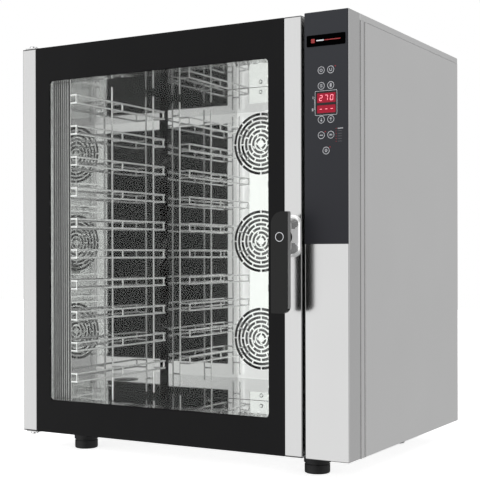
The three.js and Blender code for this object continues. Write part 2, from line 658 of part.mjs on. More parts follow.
function addHinges() {
  const topZ = [doorZ[1] + fit.swing, doorZ[1] + fit.swing + bracket.sheet];
  const leafY = [bracket.frontInset, bodyY[0] - fit.touch];
  const leaf = block(bracketX(), leafY, topZ);
  const tab = block(bracketX(), [leafY[1] - bracket.sheet, leafY[1]], [topZ[0], topZ[1] + bracket.tab]);
  const topBore = rodZ(hinge.pinRadius + fit.touch, hingeAt.x, hingeAt.y, grow(topZ, past));
  place('hinge_bracket_top', cut(joined(leaf, tab), topBore), 'steel');

  const lowZ = [-fit.touch - bracket.sheet, -fit.touch];
  const lowLeaf = block(bracketX(), [bracket.frontInset, bracket.rearReach], lowZ);
  const lowBore = rodZ(hinge.pinRadius + fit.touch, hingeAt.x, hingeAt.y, grow(lowZ, past));
  place('hinge_bracket_bottom', cut(lowLeaf, lowBore), 'steel');

  const pinInside = hinge.pinDepth - fit.swing;
  const topHeadZ = [topZ[1] + fit.touch, topZ[1] + fit.touch + hinge.headHeight];
  const topPin = rodZ(hinge.pinRadius, hingeAt.x, hingeAt.y, [doorZ[1] - pinInside, topHeadZ[1]]);
  place('hinge_pin_top', joined(topPin, rodZ(hinge.headRadius, hingeAt.x, hingeAt.y, topHeadZ,
    roundSides)), 'chrome');

  const lowHeadZ = [lowZ[0] - fit.touch - hinge.headHeight, lowZ[0] - fit.touch];
  const lowPin = rodZ(hinge.pinRadius, hingeAt.x, hingeAt.y, [lowHeadZ[0], doorZ[0] + pinInside]);
  place('hinge_pin_bottom', joined(lowPin, rodZ(hinge.headRadius, hingeAt.x, hingeAt.y, lowHeadZ,
    roundSides)), 'chrome');
}

// ---------------------------------------------------------------------------------------------
// Handle and latch
// ---------------------------------------------------------------------------------------------

const leverY = [-lever.frontReach, -lever.frontReach + lever.thickness];
const baseFront = -fit.touch - leverBase.depth;
const hubBack = baseFront - fit.running;

function handleLever() {
  const x = [pivot.x - lever.width / 2, pivot.x + lever.width / 2];
  const plate = plateY(roundedOutline(x, [pivot.z - lever.below, pivot.z + lever.above], lever.corner),
    leverY, lever.bevel);
  return joined(plate, rodY(leverHub.radius, pivot.x, [leverY[1] - past, hubBack], pivot.z, roundSides));
}

function handleBase() {
  const x = [pivot.x - leverBase.width / 2, pivot.x + leverBase.width / 2];
  const y = [baseFront, -fit.touch];
  const outline = roundedOutline(x, [pivot.z - leverBase.below, pivot.z + leverBase.above],
    leverBase.corner);
  return cut(plateY(outline, y), rodY(latch.shaftRadius + fit.running, pivot.x, grow(y, past), pivot.z));
}

function latchKeeper() {
  const half = latch.keeperSize / 2;
  const y = [mouthY, mouthY + latch.keeperPlate];
  const plate = block([pivot.x - half, pivot.x + half], y, [pivot.z - half, pivot.z + half]);
  return cut(plate, rodY(latch.holeRadius - fit.running, pivot.x, grow(y, past), pivot.z, roundSides));
}

function addHandle() {
  place('handle_lever', handleLever(), 'blackPlastic');
  place('handle_base', handleBase(), 'chrome');
  const camY = [door.thickness + fit.running, door.thickness + fit.running + latch.camPlate];
  place('latch_shaft', rodY(latch.shaftRadius, pivot.x, [hubBack + fit.touch, camY[0] - fit.touch],
    pivot.z), 'galvanised');
  const half = latch.camWidth / 2;
  const camZ = [pivot.z - latch.camReach, pivot.z + latch.camReach];
  place('latch_cam', plateY(roundedOutline([pivot.x - half, pivot.x + half], camZ, latch.camCorner),
    camY), 'galvanised');
  place('latch_keeper', latchKeeper(), 'galvanised');
}

// ---------------------------------------------------------------------------------------------
// Rear connections
// ---------------------------------------------------------------------------------------------

// A threaded fitting: a hexagonal body outside the rear cover and a round stem through it.
function rearFitting(size, at) {
  const bodyEnd = bodyY[1] + size.reach;
  const hexagon = rodY(size.radius, at.x, [bodyY[1] + fit.touch, bodyEnd - size.reach / 2], at.z,
    tinySides);
  const stem = rodY(size.thread, at.x, [bodyY[1] - 2 * size.thread, bodyEnd], at.z);
  return cut(joined(hexagon, stem), rodY(size.bore, at.x, [bodyY[1], bodyEnd + past], at.z));
}

function addConnections() {
  const ventY = [motorFront, bodyY[1] + vent.reach];
  const ventTube = rodY(vent.radius, ventAt.x, ventY, ventAt.z, roundSides);
  place('vent_outlet', cut(ventTube, rodY(vent.bore, ventAt.x, grow(ventY, past), ventAt.z,
    roundSides)), 'steel');
  place('water_inlet', rearFitting(waterInlet, inletAt), 'brass');
  place('cable_gland', rearFitting(cableGland, glandAt), 'blackPlastic');
  const pipeEnd = bodyY[1] + drainPipe.reach;
  const level = rodY(drainPipe.radius, drainAt.x, [drainAt.y - drainPipe.radius, pipeEnd],
    drainPipe.centreHeight);
  const riserZ = [drainPipe.centreHeight, linerZ[0] - drain.spigotReach - fit.touch];
  const riser = rodZ(drainPipe.riserRadius, drainAt.x, drainAt.y, riserZ);
  const bore = rodY(drainPipe.bore, drainAt.x, [pipeEnd - drainPipe.boreDepth, pipeEnd + past],
    drainPipe.centreHeight);
  place('drain_pipe', cut(joined(level, riser), bore), 'steel');
}

addFeet();
addCasing();
addControls();
addCavity();
addAirSystem();
addDoor();
addHinges();
addHandle();
addConnections();

oven.position.set(0, -(leverY[0] + rearmost) / 2, foot.height);

const part = new THREE.Group();
part.add(oven);

export default part;
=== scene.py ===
"""A combi steamer oven with a glazed door, a control column and three fans, dressed in Blender.

The packed frame gives every place and size. Each class below builds one sub-assembly: it keeps its
sizes as fields in metres, makes finer meshes for the plain solids and gives each piece its finish.
"""

import logging
import math
from collections.abc import Sequence
from dataclasses import dataclass
from enum import Enum
from typing import Any

import bmesh
import bpy
from mathutils import Matrix, Vector


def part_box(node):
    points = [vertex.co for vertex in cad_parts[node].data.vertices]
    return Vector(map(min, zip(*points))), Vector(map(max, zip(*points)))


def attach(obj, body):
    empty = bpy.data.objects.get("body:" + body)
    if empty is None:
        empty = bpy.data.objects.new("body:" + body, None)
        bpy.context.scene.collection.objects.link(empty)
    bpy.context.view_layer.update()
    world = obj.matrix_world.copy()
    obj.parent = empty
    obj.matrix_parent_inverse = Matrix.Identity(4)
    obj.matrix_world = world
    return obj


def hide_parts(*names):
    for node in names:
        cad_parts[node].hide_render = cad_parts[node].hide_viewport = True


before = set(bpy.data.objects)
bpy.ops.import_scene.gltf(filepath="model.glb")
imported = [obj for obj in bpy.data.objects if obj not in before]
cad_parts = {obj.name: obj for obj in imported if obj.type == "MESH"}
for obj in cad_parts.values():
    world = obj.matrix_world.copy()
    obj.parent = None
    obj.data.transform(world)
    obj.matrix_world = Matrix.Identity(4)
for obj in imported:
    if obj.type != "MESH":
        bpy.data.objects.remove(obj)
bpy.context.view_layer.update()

MM = 0.001
CORE = 0.05 * MM  # where a turned profile starts, just off its axis
WHITE = (1.0, 1.0, 1.0)
FANS = ("lower", "middle", "upper")
SIDES = ("left", "right")
LAID_FLAT = Matrix(((1, 0, 0, 0), (0, 0, 1, 0), (0, -1, 0, 0), (0, 0, 0, 1)))
log = logging.getLogger("oven")

Colour = tuple[float, float, float]
Point = tuple[float, float]
Outline = list[Point]


class Axis(Enum):
    """A direction of the frame."""

    X = 0
    Y = 1
    Z = 2


@dataclass(frozen=True)
class Span:
    """A box between its lowest and highest corners."""

    lo: Vector
    hi: Vector

    @classmethod
    def of(cls, node: str) -> "Span":
        """The box of a node of the frame."""
        return cls(*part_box(node))

    @property
    def mid(self) -> Vector:
        """The middle of the box."""
        return (self.lo + self.hi) / 2

    @property
    def size(self) -> Vector:
        """The box's length along each axis."""
        return self.hi - self.lo

    def grown(self, by: float) -> "Span":
        """The same box with every side moved outwards."""
        step = Vector((by, by, by))
        return Span(self.lo - step, self.hi + step)


# ---------------------------------------------------------------------------------------------
# Node trees
# ---------------------------------------------------------------------------------------------


class Val:
    """A node's output socket whose arithmetic adds Math nodes to its tree."""

    def __init__(self, tree: "Tree", socket: bpy.types.NodeSocket) -> None:
        self.tree = tree
        self.socket = socket

    def _math(self, operation: str, *values: Any, clamp: bool = False) -> "Val":
        """One Math node on these values."""
        settings = {"operation": operation, "use_clamp": clamp}
        return self.tree.node("ShaderNodeMath", settings, dict(enumerate(values)))[0]

    def _method(operation: str, swapped: bool = False) -> Any:
        """A method that adds one Math node, with this value first unless it is swapped."""

        def method(self: "Val", *others: Any) -> "Val":
            return self._math(operation, *((*others, self) if swapped else (self, *others)))

        method.__doc__ = f"The result of {operation}."
        return method

    __add__ = __radd__ = _method("ADD")
    __sub__, __rsub__ = _method("SUBTRACT"), _method("SUBTRACT", swapped=True)
    __mul__ = __rmul__ = _method("MULTIPLY")
    __truediv__, __mod__ = _method("DIVIDE"), _method("MODULO")
    __lt__, __gt__ = _method("LESS_THAN"), _method("GREATER_THAN")
    __abs__, floor, root = _method("ABSOLUTE"), _method("FLOOR"), _method("SQRT")
    at_least = _method("MAXIMUM")

    def wave(self, operation: str) -> "Val":
        """Its SINE or COSINE."""
        return self._math(operation, self)

    def clamped(self) -> "Val":
        """Held between 0 and 1."""
        return self._math("ADD", self, 0.0, clamp=True)


class Made:
    """A node that was added, whose outputs are read by name or place."""

    def __init__(self, tree: "Tree", node: bpy.types.Node) -> None:
        self.tree = tree
        self.node = node

    def __getitem__(self, key: str | int) -> Val:
        """The output with that name or place."""
        return Val(self.tree, self.node.outputs[key])


class Tree:
    """A node tree that is written as Python expressions."""

    def __init__(self, tree: bpy.types.NodeTree) -> None:
        self.tree = tree

    def node(self, kind: str, settings: dict | None = None, inputs: dict | None = None) -> Made:
        """Adds one node.

        Args:
            kind: the node's type.
            settings: its own settings, set first; "stops" holds a ramp's positions and colours.
            inputs: a value or a link for each socket, by name or place.

        Returns:
            The node that was made.
        """
        node = self.tree.nodes.new(kind)
        for key, value in (settings or {}).items():
            if key == "stops":
                self._ramp(node, value)
            else:
                setattr(node, key, value)
        for key, value in (inputs or {}).items():
            socket = node.inputs[key]
            if isinstance(value, Val):
                self.tree.links.new(value.socket, socket)
            elif isinstance(value, tuple) and socket.type == "RGBA" and len(value) == 3:
                socket.default_value = (*value, 1.0)
            else:
                socket.default_value = value
        return Made(self, node)

    @staticmethod
    def _ramp(node: bpy.types.Node, stops: Sequence[tuple[float, Colour]]) -> None:
        """Gives a colour ramp its stops."""
        elements = node.color_ramp.elements
        while len(elements) < len(stops):
            elements.new(1.0)
        for element, (place, colour) in zip(elements, stops):
            element.position = place
            element.color = (*colour, 1.0)


class Shader(Tree):
    """The node tree of one material."""

    def __init__(self, name: str) -> None:
        self.material = bpy.data.materials.new(name)
        self.material.use_nodes = True
        super().__init__(self.material.node_tree)
        self.tree.nodes.clear()
        self.place = self.node("ShaderNodeTexCoord")["Object"]

    def stretched(self, scale: Sequence[float]) -> Val:
        """The place on the object with each axis scaled."""
        return self.node("ShaderNodeMapping", None, {"Vector": self.place, "Scale": tuple(scale)})[0]

    def noise(self, scale: float | Sequence[float], detail: float = 2.0, rough: float = 0.5) -> Val:
        """Noise between 0 and 1.

        Args:
            scale: how many lumps to a metre, or one number for each axis.
            detail: how many finer layers are added.
            rough: how strong the finer layers are.

        Returns:
            The noise's value.
        """
        scales = (scale, scale, scale) if isinstance(scale, (int, float)) else tuple(scale)
        inputs = {"Vector": self.stretched(scales), "Scale": 1.0, "Detail": detail, "Roughness": rough}
        return self.node("ShaderNodeTexNoise", None, inputs)["Fac"]

    def axis(self, axis: Axis) -> Val:
        """One coordinate of the place on the object."""
        return self.node("ShaderNodeSeparateXYZ", None, {0: self.place})[axis.value]

    def blend(self, amount: Any, first: Any, second: Any) -> Val:
        """A colour between two colours."""
        inputs = {0: amount, 6: first, 7: second}
        return self.node("ShaderNodeMix", {"data_type": "RGBA"}, inputs)[2]

    def bump(self, height: Val, strength: float, distance: float) -> Val:
        """A normal that follows a height."""
        inputs = {"Height": height, "Strength": strength, "Distance": distance}
        return self.node("ShaderNodeBump", None, inputs)[0]

    def surface(self, inputs: dict) -> Val:
        """A Principled shader."""
        return self.node("ShaderNodeBsdfPrincipled", None, inputs)[0]

    def done(self, shader: Val) -> bpy.types.Material:
        """Ends the tree with this shader and gives back the material."""
        self.node("ShaderNodeOutputMaterial", None, {"Surface": shader})
        return self.material


class Geo(Tree):
    """A Geometry Nodes tree with named inputs, which makes parts that repeat."""

    def __init__(self, name: str) -> None:
        super().__init__(bpy.data.node_groups.new(name, "GeometryNodeTree"))
        self.sockets: dict[str, str] = {}
        self._add("Geometry", "Geometry")
        self.tree.interface.new_socket("Geometry", in_out="OUTPUT", socket_type="NodeSocketGeometry")
        self.source = self.tree.nodes.new("NodeGroupInput")
        self._add("Finish", "Material")

    def _add(self, name: str, kind: str) -> None:
        """Adds one named input."""
        socket = self.tree.interface.new_socket(name, in_out="INPUT", socket_type="NodeSocket" + kind)
        self.sockets[name] = socket.identifier

    def source_geometry(self) -> Val:
        """The seed that goes into the tree."""
        return Val(self, self.source.outputs["Geometry"])

    def size(self, name: str, kind: str = "Float") -> Val:
        """A named input, made when it is first asked for."""
        if name not in self.sockets:
            self._add(name, kind)
        return Val(self, self.source.outputs[name])

    def vector(self, x: Any, y: Any, z: Any) -> Val:
        """A vector from three values."""
        return self.node("ShaderNodeCombineXYZ", None, {0: x, 1: y, 2: z})[0]

    def points(self, count: Any, step: Any) -> Val:
        """A straight row of points."""
        return self.node("GeometryNodeMeshLine", {"mode": "OFFSET"}, {"Count": count, "Offset": step})[0]

    def copies(self, points: Val, shape: Val, **more: Any) -> Val:
        """A copy of the shape on every point."""
        inputs = {"Points": points, "Instance": shape, **{key.title(): v for key, v in more.items()}}
        return self.node("GeometryNodeInstanceOnPoints", None, inputs)[0]

    def real(self, geometry: Val) -> Val:
        """Copies made into plain geometry."""
        return self.node("GeometryNodeRealizeInstances", None, {0: geometry})[0]

    def together(self, *shapes: Val) -> Val:
        """Several geometries as one."""
        join = self.node("GeometryNodeJoinGeometry")
        for shape in shapes:
            self.tree.links.new(shape.socket, join.node.inputs[0])
        return join[0]

    def swept(self, curve: Val, section: Val) -> Val:
        """A section drawn along a curve, with closed ends."""
        inputs = {"Curve": curve, "Profile Curve": section, "Fill Caps": True}
        return self.node("GeometryNodeCurveToMesh", None, inputs)[0]

    def close(self, geometry: Val) -> "Geo":
        """Ends the tree: real geometry with its finish."""
        inputs = {"Geometry": self.real(geometry), "Material": self.size("Finish")}
        finished = self.node("GeometryNodeSetMaterial", None, inputs)[0]
        self.node("NodeGroupOutput", None, {0: finished})
        return self

    def grow(self, seed: bpy.types.Mesh, finish: bpy.types.Material, **sizes: Any) -> bpy.types.Mesh:
        """Runs the tree.

        Args:
            seed: the mesh that goes into the tree.
            finish: the material that the result gets.
            sizes: the named inputs, with _ for a space.

        Returns:
            A plain mesh of the result.
        """
        carrier = bpy.data.objects.new("carrier", seed)
        bpy.context.scene.collection.objects.link(carrier)
        modifier = carrier.modifiers.new("grow", "NODES")
        modifier.node_group = self.tree
        modifier[self.sockets["Finish"]] = finish
        for key, value in sizes.items():
            modifier[self.sockets[key.replace("_", " ").capitalize()]] = value
        graph = bpy.context.evaluated_depsgraph_get()
        mesh = bpy.data.meshes.new_from_object(carrier.evaluated_get(graph), depsgraph=graph)
        bpy.data.objects.remove(carrier)
        bpy.data.meshes.remove(seed)
        return mesh


# ---------------------------------------------------------------------------------------------
# Finishes
# ---------------------------------------------------------------------------------------------


def grey(level: float) -> Colour:
    """A colour without a hue."""
    return (level, level, level)


@dataclass(frozen=True)
class Finish:
    """A procedural finish, made as one Principled shader."""

    name: str

    def inputs(self, shader: Shader) -> dict:
        """The shader's inputs by name, each a value or a link."""
        raise NotImplementedError

    def outcome(self, shader: Shader) -> Val:
        """The shader that ends the tree."""
        return shader.surface(self.inputs(shader))

    def material(self) -> bpy.types.Material:
        """Builds the material."""
        shader = Shader(self.name)
        return shader.done(self.outcome(shader))


@dataclass(frozen=True)
class Steel(Finish):
    """Stainless steel with fine grain lines along one axis."""

    colour: float = 0.66
    roughness: float = 0.24
    spread: float = 0.05
    grain: Axis = Axis.Z
    lines: float = 1400.0
    run: float = 6.0
    depth: float = 0.02
    pooling: float = 0.03
    anisotropic: float = 0.0

    def inputs(self, shader: Shader) -> dict:
        """What its surface is made of."""
        scale = [self.lines] * 3
        scale[self.grain.value] = self.run
        fine = shader.noise(scale, 3.0)
        broad = shader.noise(5.0, 1.0)
        dark = grey(self.colour - self.pooling)
        light = grey(self.colour + self.pooling)
        rough = fine * (2 * self.spread) + (self.roughness - self.spread)
        return {
            "Base Color": shader.blend((fine + broad) * 0.5, dark, light),
            "Metallic": 1.0, "Roughness": rough, "Anisotropic": self.anisotropic,
            "Normal": shader.bump(fine, self.depth, 0.0002),
        }


@dataclass(frozen=True)
class Mirror(Finish):
    """Polished steel or chrome, slightly wavy as rolled sheet is.

    Attributes:
        lean: the slope along X that its shading leans by, though the surface is flat.
        glow: the strength of a white light of its own, which stands in for light from all round.
    """

    colour: Colour = grey(0.90)
    roughness: float = 0.05
    waves: float = 7.0
    wave_depth: float = 0.15
    haze: float = 0.03
    lean: float = 0.0
    glow: float = 0.0

    def inputs(self, shader: Shader) -> dict:
        """What its surface is made of."""
        smear = shader.noise((60.0, 60.0, 12.0), 3.0)
        waves = shader.noise(self.waves, 1.0)
        dull = tuple(0.94 * part for part in self.colour)
        ripple = {"Height": waves, "Strength": self.wave_depth, "Distance": 0.004}
        if self.lean:
            ripple["Normal"] = shader.bump(shader.axis(Axis.X) * -1.0, 1.0, self.lean)
        return {
            "Base Color": shader.blend(smear, dull, self.colour),
            "Metallic": 1.0, "Roughness": smear * self.haze + self.roughness,
            "Normal": shader.node("ShaderNodeBump", None, ripple)[0],
            "Emission Color": WHITE, "Emission Strength": self.glow,
        }


@dataclass(frozen=True)
class Moulded(Finish):
    """Moulded plastic, rubber or paint: one colour with a fine skin and slight wear.

    Attributes:
        mottle: how much lighter and darker it gets from place to place.
        glow: the strength of a light of its own.
    """

    colour: Colour
    roughness: float = 0.45
    skin: float = 2500.0
    depth: float = 0.08
    gloss: float = 0.5
    mottle: float = 0.12
    glow: float = 0.0

    def inputs(self, shader: Shader) -> dict:
        """What its surface is made of."""
        skin = shader.noise(self.skin, 2.0)
        broad = shader.noise(30.0, 3.0)
        light = tuple(min(1.0, part * (1 + self.mottle)) for part in self.colour)
        dark = tuple(part * (1 - self.mottle) for part in self.colour)
        return {
            "Base Color": shader.blend(broad, dark, light),
            "Roughness": broad * 0.12 + (self.roughness - 0.06),
            "Specular IOR Level": self.gloss,
            "Normal": shader.bump(skin, self.depth, 0.0002),
            "Emission Color": (*light, 1.0), "Emission Strength": self.glow,
        }


@dataclass(frozen=True)
class Film(Finish):
    """A printed overlay film, a little lighter towards its top, with a fine matt texture."""

    low: Colour
    high: Colour
    bottom: float
    top: float

    def inputs(self, shader: Shader) -> dict:
        """What its surface is made of."""
        rise = ((shader.axis(Axis.Z) - self.bottom) / (self.top - self.bottom)).clamped()
        speckle = shader.noise(4000.0, 1.0)
        colour = shader.blend(rise, self.low, self.high)
        darker = tuple(0.8 * part for part in self.low)
        return {
            "Base Color": shader.blend(speckle * 0.2, colour, darker),
            "Roughness": speckle * 0.1 + 0.42, "Specular IOR Level": 0.25,
            "Normal": shader.bump(speckle, 0.1, 0.0001),
        }


@dataclass(frozen=True)
class Galvanised(Finish):
    """Zinc-coated sheet with its spangle."""

    colour: float = 0.5

    def inputs(self, shader: Shader) -> dict:
        """What its surface is made of."""
        spangle = {"Vector": shader.place, "Scale": 90.0}
        cells = shader.node("ShaderNodeTexVoronoi", None, spangle)["Color"]
        flake = shader.node("ShaderNodeRGBToBW", None, {0: cells})[0]
        dark, light = grey(self.colour * 0.8), grey(self.colour * 1.15)
        return {
            "Base Color": shader.blend(flake, dark, light),
            "Metallic": 1.0, "Roughness": flake * 0.2 + 0.35,
            "Normal": shader.bump(shader.noise(300.0, 3.0), 0.1, 0.0003),
        }


@dataclass(frozen=True)
class Glowing(Finish):
    """A lit display part with a slightly uneven glow."""

    colour: Colour
    strength: float

    def inputs(self, shader: Shader) -> dict:
        """What its surface is made of."""
        uneven = shader.noise(600.0, 2.0)
        dim = tuple(0.75 * part for part in self.colour)
        glow = shader.blend(uneven, dim, self.colour)
        return {
            "Base Color": glow, "Roughness": uneven * 0.1 + 0.25, "Specular IOR Level": 0.2,
            "Emission Color": glow, "Emission Strength": self.strength,
        }


@dataclass(frozen=True)
class Wool(Finish):
    """Mineral wool: soft, pale and fibrous."""

    def inputs(self, shader: Shader) -> dict:
        """What its surface is made of."""
        fibres = shader.noise((500.0, 500.0, 40.0), 5.0, 0.7)
        return {
            "Base Color": shader.blend(fibres, (0.42, 0.36, 0.18), (0.72, 0.66, 0.42)),
            "Roughness": fibres * 0.1 + 0.85,
            "Normal": shader.bump(fibres, 0.8, 0.003),
        }


@dataclass(frozen=True)
class Circuit(Finish):
    """A green circuit board with copper tracks."""

    def inputs(self, shader: Shader) -> dict:
        """What its surface is made of."""
        board = {"Vector": shader.place, "Scale": 300.0, "Color1": (0.01, 0.12, 0.04),
                 "Color2": (0.02, 0.16, 0.06), "Mortar": (0.25, 0.2, 0.06), "Mortar Size": 0.03}
        tracks = shader.node("ShaderNodeTexBrick", None, board)
        return {
            "Base Color": tracks["Color"], "Roughness": shader.noise(200.0) * 0.2 + 0.3,
            "Normal": shader.bump(tracks["Fac"], 0.3, 0.0001),
        }


@dataclass(frozen=True)
class DoorGlass(Finish):
    """Door glass: clear in the middle, with a black printed border where it has one.

    Attributes:
        middle: the middle of the clear area in X and Z.
        half: half of its size in X and Z.
        corner: the radius of its corners.
    """

    middle: Point = (0.0, 0.0)
    half: Point = (10.0, 10.0)
    corner: float = 0.01
    reflective: float = 1.17
    tint: Colour = (0.97, 0.975, 0.97)
    printed: Colour = (0.006, 0.006, 0.0065)

    def _clear(self, shader: Shader) -> Val:
        """1 inside the clear area and 0 in the border."""
        away = []
        for axis, middle, half in zip((Axis.X, Axis.Z), self.middle, self.half):
            away.append((abs(shader.axis(axis) - middle) - (half - self.corner)).at_least(0.0))
        distance = (away[0] * away[0] + away[1] * away[1]).root()
        return distance < self.corner

    def outcome(self, shader: Shader) -> Val:
        """The border where it is printed, and clear glass elsewhere."""
        smear = shader.noise((14.0, 14.0, 5.0), 3.0)
        see_through = shader.node("ShaderNodeBsdfTransparent", None, {"Color": self.tint})[0]
        gloss = shader.node("ShaderNodeBsdfGlossy", None, {
            "Color": grey(0.9), "Roughness": smear * 0.02 + 0.005})[0]
        rim = shader.node("ShaderNodeFresnel", None, {"IOR": self.reflective})[0]
        clear = shader.node("ShaderNodeMixShader", None, {0: rim, 1: see_through, 2: gloss})[0]
        border = shader.surface({
            "Base Color": shader.blend(smear, self.printed, tuple(1.5 * c for c in self.printed)),
            "Roughness": smear * 0.04 + 0.05, "Specular IOR Level": 0.09,
        })
        parts = {0: self._clear(shader), 1: border, 2: clear}
        return shader.node("ShaderNodeMixShader", None, parts)[0]


@dataclass(frozen=True)
class LampGlass(Finish):
    """A frosted lamp glass."""

    def inputs(self, shader: Shader) -> dict:
        """What its surface is made of."""
        frost = shader.noise(900.0, 3.0)
        return {
            "Base Color": shader.blend(frost, (0.75, 0.76, 0.74), (0.9, 0.91, 0.88)),
            "Roughness": frost * 0.2 + 0.15,
            "Normal": shader.bump(frost, 0.2, 0.0004),
        }


@dataclass(frozen=True)
class Pale(Finish):
    """A matt white floor that glows by itself, so that it stays pale in shadow."""

    glow: float = 0.9

    def inputs(self, shader: Shader) -> dict:
        """What its surface is made of."""
        broad = shader.noise(3.0, 1.0)
        white = shader.blend(broad, grey(0.88), grey(0.92))
        return {
            "Base Color": white, "Roughness": 0.9, "Specular IOR Level": 0.0,
            "Emission Color": white, "Emission Strength": self.glow,
        }


class Finishes:
    """Every finish of the oven, built once."""

    def __init__(self) -> None:
        film = Span.of("control_overlay")
        glass = Span.of("inner_glass")
        middle = (glass.mid.x, glass.mid.z)
        half = (glass.size.x / 2, glass.size.z / 2)
        made = {
            "front": Steel("steel_front", 0.53, 0.17, 0.03, depth=0.03),
            "panel": Steel("steel_panel", 0.66, 0.36, 0.05, lines=900.0, run=900.0, depth=0.05),
            "frame": Steel("steel_frame", 0.62, 0.3, 0.05),
            "reveal": Mirror("mirror_frame", grey(0.80), 0.07, 9.0, 0.1),
            # The inner door steel glows white: painted light that stands in for fill light in the
            # cavity.
            "inner_door": Mirror("inner_door_steel_painted_glow", grey(0.75), 0.3, 9.0, 0.05, glow=0.76),
            # The pane strip's faint glow is painted light.
            "strip": Mirror("pane_strip_steel_painted_glow", grey(0.42), 0.2, 9.0, 0.05, glow=0.02),
            "liner": Mirror("mirror_liner", grey(0.62), 0.02, 6.0, 0.05, 0.02),
            "baffle": Mirror("mirror_baffle", grey(0.95), 0.02, 5.0, 0.02, 0.02,
                             lean=math.tan(math.radians(1.2))),
            # The fan steel's faint glow is painted light.
            "fan": Mirror("mirror_fan_painted_glow", grey(0.32), 0.25, 12.0, 0.1, glow=0.04),
            # The chrome wire glows: painted light that keeps the rack wires bright in the dark cavity.
            "wire": Mirror("chrome_wire", grey(0.97), 0.18, 30.0, 0.05, glow=0.15),
            "chrome": Mirror("chrome_cast", (0.88, 0.88, 0.89), 0.12, 40.0, 0.05),
            "pipe": Mirror("pipe_steel", grey(0.62), 0.22, 20.0, 0.1),
            "zinc": Galvanised("zinc_sheet"),
            "heater": Moulded("heater_sheath", (0.09, 0.08, 0.075), 0.5, 800.0, 0.2),
            "glass": DoorGlass("outer_glass", middle, half, 10 * MM),
            "inner": DoorGlass("inner_glass", middle, (1.0, 1.0), 10 * MM, 1.1),
            "lamp": LampGlass("lamp_glass"),
            "seal": Moulded("seal_rubber", grey(0.018), 0.7, 1500.0, 0.3, 0.3),
            "foot": Moulded("foot_rubber", (0.02, 0.02, 0.021), 0.6, 1200.0, 0.3, 0.3),
            "wool": Wool("mineral_wool"),
            "film": Film("overlay_film", (0.0215, 0.022, 0.029), (0.034, 0.037, 0.045),
                         film.lo.z, film.hi.z),
            "key": Moulded("key_film", (0.040, 0.042, 0.050), 0.45, 4000.0, 0.05, 0.25),
            # Printed lines glow: painted light that makes them brighter than the light falling on them
            # would.
            "print": Moulded("printed_line_painted_glow", (0.66, 0.67, 0.70), 0.5, 3000.0, 0.03, 0.25, glow=0.35),
            "faint": Moulded("faint_line", (0.16, 0.165, 0.18), 0.5, 3000.0, 0.03, 0.25),
            "screen": Moulded("screen_frame", (0.008, 0.006, 0.007), 0.2, 3000.0, 0.02, 0.3),
            "window": Glowing("red_window", (0.36, 0.003, 0.024), 0.42),
            "digit": Glowing("lit_digit", (1.0, 0.30, 0.38), 1.1),
            "led": Glowing("red_led", (0.75, 0.02, 0.03), 0.8),
            "board": Circuit("circuit_board"),
            "badge": Moulded("badge_gloss", (0.0012, 0.0012, 0.0014), 0.3, 900.0, 0.01, 0.0),
            "badge_red": Moulded("badge_red", (0.42, 0.02, 0.02), 0.25, 900.0, 0.02, 0.4),
            # The lever's right side: the same black plastic in a lighter grey, a painted highlight where
            # light from the right falls.
            "handle_side": Moulded("handle_side", grey(0.36), 0.35, 2600.0, 0.1, 0.5),
            "handle": Moulded("handle_plastic", grey(0.010), 0.38, 2600.0, 0.1, 0.22),
            # The pedestal chrome glows: painted light that makes the base read light grey.
            "pedestal": Mirror("pedestal_chrome_painted_glow", grey(0.92), 0.3, 20.0, 0.1, glow=0.36),
            # Painted shade: a darker, dimmer glowing chrome for the pedestal's two hollows, which are
            # not shaped.
            "scoop": Mirror("pedestal_scoop_painted_shade", grey(0.62), 0.25, 20.0, 0.1, glow=0.13),
            "brass": Mirror("fitting_brass", (0.62, 0.44, 0.18), 0.22, 30.0, 0.1),
            "fitting": Moulded("fitting_plastic", (0.03, 0.03, 0.032), 0.45),
            "floor": Pale("studio_floor"),
        }
        self._made = {key: finish.material() for key, finish in made.items()}

    def __getattr__(self, key: str) -> bpy.types.Material:
        """The material with that short name."""
        return self._made[key]


# ---------------------------------------------------------------------------------------------
# Shapes
# ---------------------------------------------------------------------------------------------


def arc(centre: Point, radius: float, start: float, end: float, steps: int) -> Outline:
    """Points along a circular arc.

    Args:
        centre: the arc's centre.
        radius: its radius.
        start: the first angle in degrees.
        end: the last angle in degrees.
        steps: how many pieces the arc is cut into.

    Returns:
        The points, both ends included.
    """
    turns = [math.radians(start + (end - start) * i / steps) for i in range(steps + 1)]
    return [(centre[0] + radius * math.cos(t), centre[1] + radius * math.sin(t)) for t in turns]


def circle(centre: Point, radius: float, steps: int = 48) -> Outline:
    """A closed circle's points."""
    return arc(centre, radius, 0.0, 360.0, steps)[:-1]


def rounded(x: Point, z: Point, radius: float, steps: int = 6) -> Outline:
    """A rectangle between two spans with round corners."""
    corners = [((x[1], z[0]), (-1, 1), -90), ((x[1], z[1]), (-1, -1), 0),
               ((x[0], z[1]), (1, -1), 90), ((x[0], z[0]), (1, 1), 180)]
    outline: Outline = []
    for (cx, cz), (sx, sz), start in corners:
        centre = (cx + sx * radius, cz + sz * radius)
        outline += arc(centre, radius, start, start + 90, steps)
    return outline


def drum(radius: float, low: float, high: float) -> Outline:
    """The turned profile of a plain round body between two heights."""
    return [(CORE, low), (radius, low), (radius, high), (CORE, high)]


def bearings(path: Sequence[Sequence[float]], closed: bool) -> list[Vector]:
    """At each point of a path, the step from the point before it to the point after it."""
    count = len(path)
    steps = []
    for i in range(count):
        before = path[i - 1] if closed or i else path[i]
        after = path[(i + 1) % count] if closed or i + 1 < count else path[i]
        steps.append(Vector([b - a for a, b in zip(before, after)]))
    return steps


